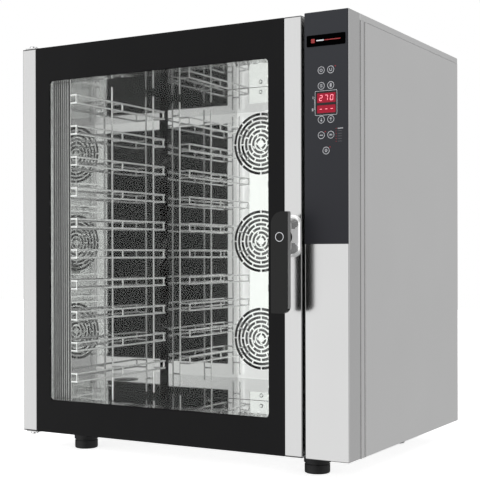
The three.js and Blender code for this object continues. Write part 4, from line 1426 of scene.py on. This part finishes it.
@dataclass
class Cavity:
    """The mirror liner with its baffle, grilles, tray supports, drain and lamp."""

    paint: Finishes
    flange: float = 12.0 * MM
    wall: float = 1.0 * MM
    grille: float = 87.1 * MM
    rings: int = 6
    ring_pitch: float = 11.8 * MM
    land: float = 4.5 * MM
    bridge: float = 4.0 * MM
    disc: float = 10.0 * MM
    standoff: float = 5.0 * MM
    levels: int = 10
    level_pitch: float = 80.0 * MM
    first_level: float = 95.0 * MM
    posts: int = 3
    post_pitch: float = 198.5 * MM
    wire: float = 2.5 * MM
    bend: float = 5.0 * MM
    post_gap: float = 13.0 * MM
    rail_gap: float = 48.0 * MM
    rail_spread: float = 10.3 * MM
    peg_inset: float = 40.0 * MM

    def __post_init__(self) -> None:
        """Finds the inside of the liner."""
        outer = Span.of("cavity_liner")
        inset = self.flange + self.wall
        self.inside = Span(outer.lo + Vector((inset, 0.0, inset)),
                           outer.hi - Vector((inset, self.wall, inset)))

    def build(self) -> None:
        """Builds every piece inside the cavity."""
        dress(self.paint.liner, "cavity_liner")
        dress(self.paint.wool, "insulation_wrap")
        self._baffle()
        for side in SIDES:
            self._rack(side)
        self._strainer()
        self._lamp()

    def _fan_centres(self) -> list[Vector]:
        """The middle of each fan, lowest first."""
        return [Span.of(f"fan_impeller_{name}").mid for name in FANS]

    def _baffle(self) -> None:
        """The baffle plate with its round grilles, standoffs and fixing screws."""
        span = Span.of("fan_baffle")
        sheet = 1.5 * MM
        y = (span.lo.y, span.lo.y + sheet)
        openings = [circle((c.x, c.z), self.grille, 96) for c in self._fan_centres()]
        shape = Shape().add_plate(rounded((span.lo.x, span.hi.x), (span.lo.z, span.hi.z), 2 * MM, 3),
                                  openings, y, 0.3 * MM)
        inset = 34 * MM
        for x in (span.lo.x + inset, span.hi.x - inset):
            for z in (span.lo.z + inset, span.hi.z - inset):
                standoff = drum(self.standoff, 0.0, span.size.y - sheet)
                shape.add_lathe(standoff, (x, y[1], z), Axis.Y, 24)
        centres = [(c.x, y[0] + sheet / 2, c.z) for c in self._fan_centres()]
        grilles = grille_tree().grow(
            points_mesh(centres), self.paint.baffle, rings=self.rings,
            outer=self.grille - self.ring_pitch + self.land / 2, pitch=self.ring_pitch,
            land=self.land, sheet=sheet, bridges=8, bridge=self.bridge)
        shape.add_mesh(grilles)
        half = self.bridge / 2
        inner, outer = self.grille - self.ring_pitch + self.land - 0.6 * MM, self.grille + 0.9 * MM
        corners = [(inner, -half), (outer, -half), (outer, half), (inner, half)]
        for c in self._fan_centres():
            shape.add_lathe(drum(self.disc, 0.0, sheet), (c.x, y[0], c.z), Axis.Y, 48)
            for i in range(8):
                u, w = math.cos(math.radians(45 * i)), math.sin(math.radians(45 * i))
                shape.add_prism([(c.x + a * u - b * w, c.z + a * w + b * u) for a, b in corners],
                                (y[0] + 0.05 * MM, y[1] - 0.05 * MM))
        screws = screw_tree().grow(
            points_mesh([(span.mid.x, y[0], z) for z in (span.lo.z + 14 * MM, span.hi.z - 14 * MM)]),
            self.paint.chrome, radius=6 * MM, rise=2 * MM, turn=(math.pi / 2, 0.0, 0.0))
        shape.add_mesh(screws)
        shape.make("baffle_sheet", "root", [self.paint.baffle], "steel_mirror", ["fan_baffle"])

    def _rack(self, side: str) -> None:
        """One tray support of bent round wire: posts, C brackets and pairs of rails."""
        inward = 1 if side == "left" else -1
        wall = self.inside.lo.x if side == "left" else self.inside.hi.x
        span = Span.of(f"rack_{side}")
        tree = wire_tree()
        y0 = span.lo.y + self.wire
        z0 = self.inside.lo.z + self.first_level
        up, back = (0.0, 0.0, self.level_pitch), (0.0, self.post_pitch, 0.0)

        def across(gap: float) -> float:
            """A distance from the wall as a place."""
            return wall + inward * gap

        common = {"sides": 12, "radius": self.wire, "bend": self.bend}
        leg, rail = across(self.post_gap), across(self.rail_gap)
        post = edges_mesh([(leg, y0, span.lo.z), (leg, y0, span.hi.z)])
        parts = [tree.grow(post, self.paint.wire, **common, rows=1, row_step=up,
                           columns=self.posts, column_step=back)]
        rise = self.rail_spread
        bracket = edges_mesh([(leg, y0, z0 + rise), (rail, y0, z0 + rise), (rail, y0, z0 - rise),
                              (leg, y0, z0 - rise)])
        parts.append(tree.grow(bracket, self.paint.wire, **common, rows=self.levels, row_step=up,
                               columns=self.posts, column_step=back))
        ends = (span.lo.y + 0.2 * MM, span.hi.y)
        runner = edges_mesh([(rail, ends[0], z0 - rise), (rail, ends[1], z0 - rise)])
        parts.append(tree.grow(runner, self.paint.wire, **common, rows=self.levels, row_step=up,
                               columns=2, column_step=(0.0, 0.0, 2 * rise)))
        low = span.lo.z + self.peg_inset
        pegs = edges_mesh([(across(0.3 * MM), y0, low), (leg, y0, low)])
        parts.append(tree.grow(pegs, self.paint.wire, **common, rows=2,
                               row_step=(0.0, 0.0, span.size.z - 2 * self.peg_inset),
                               columns=self.posts, column_step=back))
        shape = Shape()
        for part in parts:
            shape.add_mesh(part)
        shape.make(f"tray_support_{side}", "root", [self.paint.wire], "chrome_wire", [f"rack_{side}"])

    def _strainer(self) -> None:
        """The drain strainer: a dished disc with two rings of holes over its spigot."""
        span = Span.of("drain_strainer")
        radius, plate = span.size.x / 2, 1.5 * MM
        centre = (span.mid.x, span.mid.y)
        holes = []
        for ring, count in ((9 * MM, 6), (17 * MM, 12)):
            for i in range(count):
                turn = 2 * math.pi * i / count
                at = (centre[0] + ring * math.cos(turn), centre[1] + ring * math.sin(turn))
                holes.append(circle(at, 2.6 * MM, 16))
        shape = Shape().add_plate(circle(centre, radius, 64), holes, (-span.hi.z, -span.hi.z + plate),
                                  0.3 * MM, turn=LAID_FLAT)
        bore = 26 * MM
        wall = [(bore, 0.0), (bore, span.size.z - plate), (bore - 2 * MM, span.size.z - plate),
                (bore - 2 * MM, 0.0)]
        shape.add_lathe(wall, (centre[0], centre[1], span.lo.z), sides=48, closed=True)
        shape.make("strainer_disc", "root", [self.paint.fan], "steel_satin", ["drain_strainer"])

    def _lamp(self) -> None:
        """The cavity lamp: a domed glass in a steel rim on the right wall."""
        span = Span.of("cavity_lamp")
        radius = span.size.y / 2
        centre = (self.inside.hi.x, span.mid.y, span.mid.z)
        proud = span.lo.x - self.inside.hi.x
        rim = [(radius, -0.3 * MM), (radius, proud * 0.6), (radius * 0.94, proud * 0.85),
               (radius * 0.8, proud * 0.8), (radius * 0.8, -0.3 * MM)]
        dome = [(CORE, proud), (radius * 0.4, proud * 0.97), (radius * 0.7, proud * 0.8),
                (radius * 0.79, proud * 0.5), (radius * 0.79, 34 * MM), (CORE, 34 * MM)]
        shape = Shape().add_lathe(rim, centre, Axis.X, 48, closed=True)
        shape.add_lathe(dome, centre, Axis.X, 48, finish=1)
        shape.make("lamp_lens", "root", [self.paint.chrome, self.paint.lamp], "lamp_glass",
                   ["cavity_lamp"])


@dataclass
class AirSystem:
    """The fans behind the baffle with their ring heaters, motors and the water pipe."""

    paint: Finishes
    hub: float = 16.0 * MM
    shaft: float = 6.0 * MM
    tube: float = 4.25 * MM
    ring: float = 100.0 * MM
    back_inset: float = 42.0 * MM
    blades: int = 10
    blade_depth: float = 32.0 * MM
    blade_curve: float = 60.0 * MM
    blade_sweep: float = 55.0
    blade_sheet: float = 2.0 * MM

    def build(self) -> None:
        """Builds each fan and its heater."""
        dress(self.paint.pipe, "water_injector")
        dress(self.paint.zinc, *[f"fan_motor_{name}" for name in FANS])
        for name in FANS:
            self._impeller(name)
            self._heater(name)

    def _impeller(self, name: str) -> None:
        """A fan wheel: back plate, hub, shaft and curved blades."""
        span = Span.of(f"fan_impeller_{name}")
        radius = span.size.x / 2
        centre = (span.mid.x, 0.0, span.mid.z)
        back = span.hi.y - self.back_inset
        disc = [(CORE, back - 2 * MM), (radius - 0.5 * MM, back - 2 * MM),
                (radius, back - 1.5 * MM), (radius, back - 0.5 * MM),
                (radius - 0.5 * MM, back), (CORE, back)]
        hub = [(CORE, back - 31 * MM), (self.hub * 0.7, back - 31 * MM), (self.hub, back - 28 * MM),
               (self.hub, back - 1 * MM), (CORE, back - 1 * MM)]
        shaft = drum(self.shaft, back - 1 * MM, span.hi.y)
        shape = Shape()
        for profile in (disc, hub, shaft):
            shape.add_lathe(profile, centre, Axis.Y, 48)
        seed = points_mesh([(centre[0], back - 1.5 * MM - self.blade_depth / 2, centre[2])])
        blades = blade_tree().grow(
            seed, self.paint.fan, blades=self.blades, curve=self.blade_curve,
            sweep=math.radians(self.blade_sweep), sheet=self.blade_sheet, depth=self.blade_depth,
            shift=(radius - 61 * MM, -48 * MM, 0.0))
        shape.add_mesh(blades)
        shape.make(f"fan_wheel_{name}", f"fan_{name}", [self.paint.fan], "steel_mirror",
                   [f"fan_impeller_{name}"])

    def _heater(self, name: str) -> None:
        """A ring heater: a round tube with two legs and a mounting plate."""
        span, fan = Span.of(f"ring_heater_{name}"), Span.of(f"fan_impeller_{name}")
        x, z = fan.mid.x, fan.mid.z
        y = span.lo.y + self.tube
        gap = math.degrees(15 * MM / self.ring)
        path = [Vector((u, y, w)) for u, w in arc((x, z), self.ring, 90 + gap, 450 - gap, 60)]
        for end, reach in ((path[0], -1), (path[-1], 1)):
            leg = [Vector((end.x, y + step, end.z)) for step in (4 * MM, 12 * MM, 29 * MM)]
            path = leg[::-1] + path if reach < 0 else path + leg
        top = Vector((x, span.hi.y, path[0].z))
        shape = Shape().add_tube(path, self.tube, 12)
        shape.add_box((x - 28 * MM, top.y - 2.5 * MM, top.z - 11 * MM),
                      (x + 28 * MM, top.y, top.z + 11 * MM), 0.6 * MM, 1)
        shape.make(f"heater_ring_{name}", "root", [self.paint.heater, self.paint.zinc],
                   "heater_sheath", [f"ring_heater_{name}"])


@dataclass
class Door:
    """The door with its profiles, panes, gasket and hinges."""

    paint: Finishes
    edge: float = 2.6 * MM
    cap: float = 1.2 * MM
    strip: float = 27.0 * MM
    ribs: int = 4
    leaf: float = 3.0 * MM
    pin_head: float = 6.0 * MM
    pin_stem: float = 5.0 * MM
    seal: float = 15.0 * MM
    seal_corner: float = 12.0 * MM
    seal_sides: int = 16

    def build(self) -> None:
        """Builds every piece of the door."""
        dress(self.paint.reveal, "door_frame")
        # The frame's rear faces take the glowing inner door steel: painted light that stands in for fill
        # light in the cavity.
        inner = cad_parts["door_frame"].data
        inner.materials.append(self.paint.inner_door)
        for face in inner.polygons:
            face.material_index = 1 if face.normal.y > 0.9 else 0
        dress(self.paint.inner, "inner_glass")
        for side in SIDES:
            self._profile(side)
        self._glass()
        self._pane_strip()
        self._gasket()
        self._hinges()

    def _profile(self, side: str) -> None:
        """A rounded steel profile down one edge, closed by plastic end caps."""
        span = Span.of(f"door_profile_{side}")
        inset = Vector((0.0, 0.0, self.cap))
        shape = Shape().add_box(span.lo + inset, span.hi - inset, self.edge, steps=4)
        step = Vector((0.8 * MM, 0.8 * MM, 0.0))
        for low, high in ((span.lo.z, span.lo.z + 2 * self.cap), (span.hi.z - 2 * self.cap, span.hi.z)):
            shape.add_box((*(span.lo + step).xy, low), (*(span.hi - step).xy, high), 0.5 * MM, 1)
        shape.make(f"door_stile_{side}", "door", [self.paint.front, self.paint.fitting],
                   "steel_brushed", [f"door_profile_{side}"])

    def _glass(self) -> None:
        """The outer pane with ground edges."""
        span = Span.of("outer_glass")
        Shape().add_box(span.lo, span.hi, 0.8 * MM, steps=2).make(
            "door_pane", "door", [self.paint.glass], "glass_dark", ["outer_glass"])

    def _pane_strip(self) -> None:
        """A ribbed steel strip that holds the hinge side of the inner pane."""
        pane = Span.of("inner_glass")
        y = (pane.hi.y + 0.3 * MM, pane.hi.y + 2.0 * MM)
        x0, x1 = pane.lo.x, pane.lo.x + self.strip
        middle = sum(y) / 2
        shape = Shape().add_box((x0, y[0], pane.lo.z), (x1, middle, pane.hi.z), 0.3 * MM)
        # The back layer takes the glowing inner door steel and the ribs the glowing wire: painted light.
        shape.add_box((x0, middle - 0.1 * MM, pane.lo.z), (x1, y[1], pane.hi.z), 0.3 * MM, 2)
        for i in range(self.ribs):
            x = x0 + self.strip * (i + 0.5) / self.ribs
            shape.add_box((x - 1.2 * MM, pane.lo.y - 2.0 * MM, pane.lo.z + 1 * MM),
                          (x + 1.2 * MM, pane.lo.y - 0.2 * MM, pane.hi.z - 1 * MM), 0.5 * MM, 1)
        shape.make("pane_strip", "door", [self.paint.strip, self.paint.wire, self.paint.inner_door],
                   "steel_mirror")

    def _gasket(self) -> None:
        """A soft lipped seal that runs round the mouth."""
        span = Span.of("door_gasket")
        width, radius = self.seal, self.seal_corner
        half = span.size.y / 2
        path = rounded((span.lo.x + width / 2, span.hi.x - width / 2),
                       (span.lo.z + width / 2, span.hi.z - width / 2), radius)
        rings = []
        for (x, z), step in zip(path, bearings(path, True)):
            along = step.normalized()
            across = Vector((-along.y, along.x))
            ring = []
            for k in range(self.seal_sides):
                turn = 2 * math.pi * k / self.seal_sides
                u = math.copysign(abs(math.cos(turn)) ** 0.7, math.cos(turn)) * width / 2
                v = math.copysign(abs(math.sin(turn)) ** 0.7, math.sin(turn)) * half
                ring.append(Vector((x + across.x * u, span.mid.y + v, z + across.y * u)))
            rings.append(ring)
        Shape().add_loft(rings, True).make("mouth_seal", "door", [self.paint.seal], "gasket_rubber",
                                           ["door_gasket"])

    def _hinges(self) -> None:
        """Folded brackets and turned pins."""
        for end in ("top", "bottom"):
            leaf, pin = Span.of(f"hinge_bracket_{end}"), Span.of(f"hinge_pin_{end}")
            sheet = self.leaf
            outline = rounded((leaf.lo.x, leaf.hi.x), (leaf.lo.y, leaf.hi.y), 4 * MM)
            low = leaf.lo.z
            shape = Shape().add_plate(outline, [circle((pin.mid.x, pin.mid.y), 5.3 * MM, 32)],
                                      (-low - sheet, -low), 0.4 * MM, turn=LAID_FLAT)
            if end == "top":
                shape.add_box((leaf.lo.x, leaf.hi.y - sheet, low), leaf.hi, 0.6 * MM)
            shape.make(f"hinge_leaf_{end}", "root", [self.paint.frame], "steel_satin",
                       [f"hinge_bracket_{end}"])
            head, size = self.pin_head, pin.size.z
            radius, stem = pin.size.x / 2, self.pin_stem
            profile = [(CORE, 0.0), (stem - 0.8 * MM, 0.0), (stem, 0.8 * MM), (stem, size - head),
                       (radius - 0.6 * MM, size - head), (radius, size - head + 0.6 * MM),
                       (radius, size - 2.4 * MM), (radius * 0.86, size - 1.0 * MM),
                       (radius * 0.5, size - 0.2 * MM), (CORE, size)]
            if end == "bottom":
                profile = [(r, size - h) for r, h in reversed(profile)]
            shape = Shape().add_lathe(profile, (pin.mid.x, pin.mid.y, pin.lo.z), sides=40)
            shape.make(f"hinge_stud_{end}", "root", [self.paint.chrome], "chrome_cast",
                       [f"hinge_pin_{end}"])


@dataclass
class Handle:
    """The turning lever on its chrome base, with the shaft and cam of the latch."""

    paint: Finishes
    corner: float = 3.0 * MM
    top_sweep: float = 27.0 * MM
    swept: float = 16.0 * MM
    bevel: float = 1.6 * MM
    foot: float = 3.0 * MM
    waist_x: float = 6.0 * MM
    waist_z: float = 9.0 * MM
    end_corner: float = 19.0 * MM
    # Where the painted shade of the base's two hollows lies.
    scoop_at: float = 29.0 * MM
    scoop_half: float = 14.5 * MM
    scoop_depth: float = 0.8
    hub: float = 17.0 * MM
    mark: float = 9.6 * MM
    mark_line: float = 1.3 * MM

    def build(self) -> None:
        """Builds the lever, its base and the latch."""
        dress(self.paint.zinc, "latch_shaft", "latch_cam", "latch_keeper")
        self._lever()
        self._base()

    def _lever(self) -> None:
        """The lever: a slab with soft rims, a ring mark and a round boss behind it."""
        span, shaft = Span.of("handle_lever"), Span.of("latch_shaft")
        depth = 14 * MM
        y = (span.lo.y, span.lo.y + depth)
        (x0, _, z0), (x1, _, z1) = span.lo, span.hi
        outline: Outline = []
        for cx, cz, radius, start in ((x1, z0, self.swept, -90), (x1, z1, self.corner, 0),
                                      (x0, z1, self.top_sweep, 90), (x0, z0, self.corner, 180)):
            centre = (cx + (radius if cx == x0 else -radius), cz + (radius if cz == z0 else -radius))
            outline += arc(centre, radius, start, start + 90, 14)
        shape = Shape().add_prism(outline, y, front=self.bevel, rear=1.5 * MM, steps=5)
        # Painted highlight: the right side faces take a lighter grey of the same plastic, for light that
        # falls from the right.
        shape.bm.normal_update()
        for face in shape.bm.faces:
            if abs(face.normal.x) > 0.95 and face.calc_center_median().x > (x0 + x1) / 2:
                face.material_index = 2
        x, z = shaft.mid.x, shaft.mid.z
        length = span.size.y - depth
        shape.add_lathe([(CORE, -1 * MM), (self.hub, -1 * MM), (self.hub, length - 1 * MM),
                         (self.hub - 1 * MM, length), (CORE, length)], (x, y[1], z), Axis.Y, 48)
        shape.add_ribbon(circle((x, z), self.mark, 48), self.mark_line,
                         (y[0] - 0.1 * MM, y[0] + 0.2 * MM), True, 1)
        shape.make("lever_grip", "handle",
                   [self.paint.handle, self.paint.print, self.paint.handle_side], "handle_plastic",
                   ["handle_lever"])

    def _base(self) -> None:
        """The base: a chrome pedestal with round ends, whose two hollows are a darker finish."""
        span = Span.of("handle_base")
        rings = []
        steps = 14
        for i in range(steps + 1):
            t = i / steps
            y = span.hi.y - self.foot - (span.size.y - self.foot) * t if i else span.hi.y
            fall = math.sin(math.pi / 2 * t) ** 0.75 if i > 1 else 0.0
            x = (span.lo.x + self.waist_x * fall, span.hi.x - self.waist_x * fall)
            z = (span.lo.z + self.waist_z * fall, span.hi.z - self.waist_z * fall)
            corner = min(self.end_corner, (x[1] - x[0]) / 2 - 0.2 * MM, (z[1] - z[0]) / 2 - 0.2 * MM)
            outline = split_sides(rounded(x, z, corner, 10), 10 * MM, 16)
            rings.append([Vector((u, y, w)) for u, w in outline])
        shape = Shape().add_loft(rings)
        # Painted shade: faces inside each ellipse, where a hollow lies, take the darker scoop finish.
        for face in shape.bm.faces:
            at = face.calc_center_median()
            along = (abs(at.z - span.mid.z) - self.scoop_at) / self.scoop_half
            deep = (at.y - span.lo.y) / (span.size.y * self.scoop_depth)
            if along * along + deep * deep < 1.0:
                face.material_index = 1
        shape.make("lever_pedestal", "door", [self.paint.pedestal, self.paint.scoop], "chrome_cast",
                   ["handle_base"])


@dataclass
class Services:
    """The connections on the rear."""

    paint: Finishes
    threads: int = 5

    def build(self) -> None:
        """Builds the vent, the drain pipe, the water inlet and the cable gland."""
        dress(self.paint.pipe, "drain_pipe")
        self._vent()
        self._fitting("water_inlet", "inlet_thread", self.paint.brass, "fitting_brass")
        self._fitting("cable_gland", "gland_nut", self.paint.fitting, "fitting_plastic")

    def _vent(self) -> None:
        """The steam vent: a pipe with a rolled rim."""
        span = Span.of("vent_outlet")
        outer, wall, length = span.size.x / 2, 2.5 * MM, span.size.y
        lip = [(outer, 0.0), (outer, length - 3 * MM), (outer - 0.3 * MM, length - 1 * MM),
               (outer - wall / 2, length), (outer - wall, length - 1 * MM), (outer - wall, 0.0)]
        Shape().add_lathe(lip, (span.mid.x, span.lo.y, span.mid.z), Axis.Y, 56, closed=True).make(
            "vent_pipe", "root", [self.paint.pipe], "steel_pipe", ["vent_outlet"])

    def _fitting(self, node: str, name: str, finish: bpy.types.Material, slot: str) -> None:
        """A hexagonal body with a threaded, hollow stem."""
        span, rear = Span.of(node), Span.of("rear_cover").hi.y
        stem, bore = 10 * MM, 7.5 * MM
        reach = span.hi.y - rear
        hexagon = [(span.mid.x + span.size.x / 2 * math.cos(math.radians(60 * i)),
                    span.mid.z + span.size.x / 2 * math.sin(math.radians(60 * i))) for i in range(6)]
        shape = Shape().add_prism(hexagon, (rear + 0.3 * MM, rear + reach / 2), 0.6 * MM, 0.8 * MM)
        profile = [(bore, 0.0), (stem, 0.0), (stem, span.size.y - reach / 2)]
        pitch = reach / 2 / self.threads
        for i in range(self.threads):
            start = span.size.y - reach / 2 + i * pitch
            profile += [(stem - 0.9 * MM, start + pitch * 0.3), (stem, start + pitch * 0.7)]
        profile += [(stem - 1 * MM, span.size.y), (bore, span.size.y)]
        shape.add_lathe(profile, (span.mid.x, span.lo.y, span.mid.z), Axis.Y, 40, closed=True)
        shape.make(name, "root", [finish], slot, [node])


# ---------------------------------------------------------------------------------------------
# Studio
# ---------------------------------------------------------------------------------------------


@dataclass
class Studio:
    """The camera, the pale floor and the soft light."""

    paint: Finishes
    eye: tuple[float, float, float] = (1.441, -2.500, 0.500)
    yaw: float = 30.14
    pitch: float = -0.172
    roll: float = -0.126
    lens: float = 81.94
    shift: float = 0.0375
    main: float = 1.3
    main_edge: Point = (0.50, 0.88)
    side: float = 0.62
    top: float = 0.9
    right: float = 1.0
    rest: float = 0.03
    floor_size: float = 14.0

    def build(self) -> None:
        """Builds the studio."""
        self._camera()
        self._world()
        self._floor()
        scene = bpy.context.scene
        scene.view_settings.view_transform = "Standard"
        scene.cycles.max_bounces = 16
        scene.cycles.glossy_bounces = 12
        scene.cycles.transparent_max_bounces = 16

    def _camera(self) -> None:
        """A level camera to the right of the front."""
        lens = bpy.data.cameras.new("camera")
        lens.lens, lens.sensor_width, lens.shift_y = self.lens, 36.0, self.shift
        camera = bpy.data.objects.new("camera", lens)
        bpy.context.scene.collection.objects.link(camera)
        yaw, pitch, roll = (math.radians(a) for a in (self.yaw, self.pitch, self.roll))
        level = math.cos(pitch)
        ahead = Vector((-math.sin(yaw) * level, math.cos(yaw) * level, math.sin(pitch)))
        right = Vector((math.cos(yaw), math.sin(yaw), 0.0))
        up = right.cross(ahead)
        side = math.cos(roll) * right + math.sin(roll) * up
        top = -math.sin(roll) * right + math.cos(roll) * up
        turn = Matrix((side, top, -ahead)).transposed().to_4x4()
        camera.matrix_world = Matrix.Translation(self.eye) @ turn
        bpy.context.scene.camera = camera

    def _world(self) -> None:
        """White to the camera, and to the oven four soft patches of light.

        They lie to the front left, to the rear right, to the right and overhead.
        """
        world = bpy.data.worlds.new("studio")
        world.use_nodes = True
        bpy.context.scene.world = world
        tree = Tree(world.node_tree)
        tree.tree.nodes.clear()
        way = tree.node("ShaderNodeTexCoord")["Generated"]

        def towards(x: float, y: float, z: float, low: float, high: float) -> Val:
            """0 to 1 as the direction leans to a heading, between two cosines."""
            aim = Vector((x, y, z)).normalized()
            lean = tree.node("ShaderNodeVectorMath", {"operation": "DOT_PRODUCT"},
                             {0: way, 1: tuple(aim)})["Value"]
            return tree.node("ShaderNodeMapRange", {"interpolation_type": "SMOOTHSTEP"}, {
                "Value": lean, "From Min": low, "From Max": high})[0]

        glow = towards(-0.5, -0.87, 0.0, *self.main_edge) * self.main
        glow = glow + towards(0.5, 0.87, 0.0, 0.0, 0.7) * self.side
        glow = glow + towards(1.0, -0.15, 0.0, 0.85, 0.97) * self.right
        glow = glow + towards(0.0, 0.0, 1.0, 0.45, 0.95) * self.top + self.rest
        seen = tree.node("ShaderNodeLightPath")["Is Camera Ray"]
        level = seen + (1.0 - seen) * glow
        light = tree.node("ShaderNodeBackground", None, {"Color": WHITE, "Strength": level})[0]
        tree.node("ShaderNodeOutputWorld", None, {"Surface": light})

    def _floor(self) -> None:
        """A wide pale floor under the feet."""
        half = self.floor_size / 2
        mesh = bpy.data.meshes.new("studio_floor")
        corners = [(-half, -half, 0.0), (half, -half, 0.0), (half, half, 0.0), (-half, half, 0.0)]
        mesh.from_pydata(corners, [], [(0, 1, 2, 3)])
        mesh.materials.append(self.paint.floor)
        floor = bpy.data.objects.new("studio_floor", mesh)
        bpy.context.scene.collection.objects.link(floor)
        floor.visible_diffuse = floor.visible_glossy = floor.visible_transmission = False


def main() -> None:
    """Builds the oven and its studio, and writes both boxes."""
    logging.basicConfig(level=logging.INFO, format="%(message)s")
    paint = Finishes()
    for assembly in (Casing, Controls, Cavity, AirSystem, Door, Handle, Services, Studio):
        log.info("building %s", assembly.__name__)
        assembly(paint).build()
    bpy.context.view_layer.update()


if __name__ == "__main__":
    main()
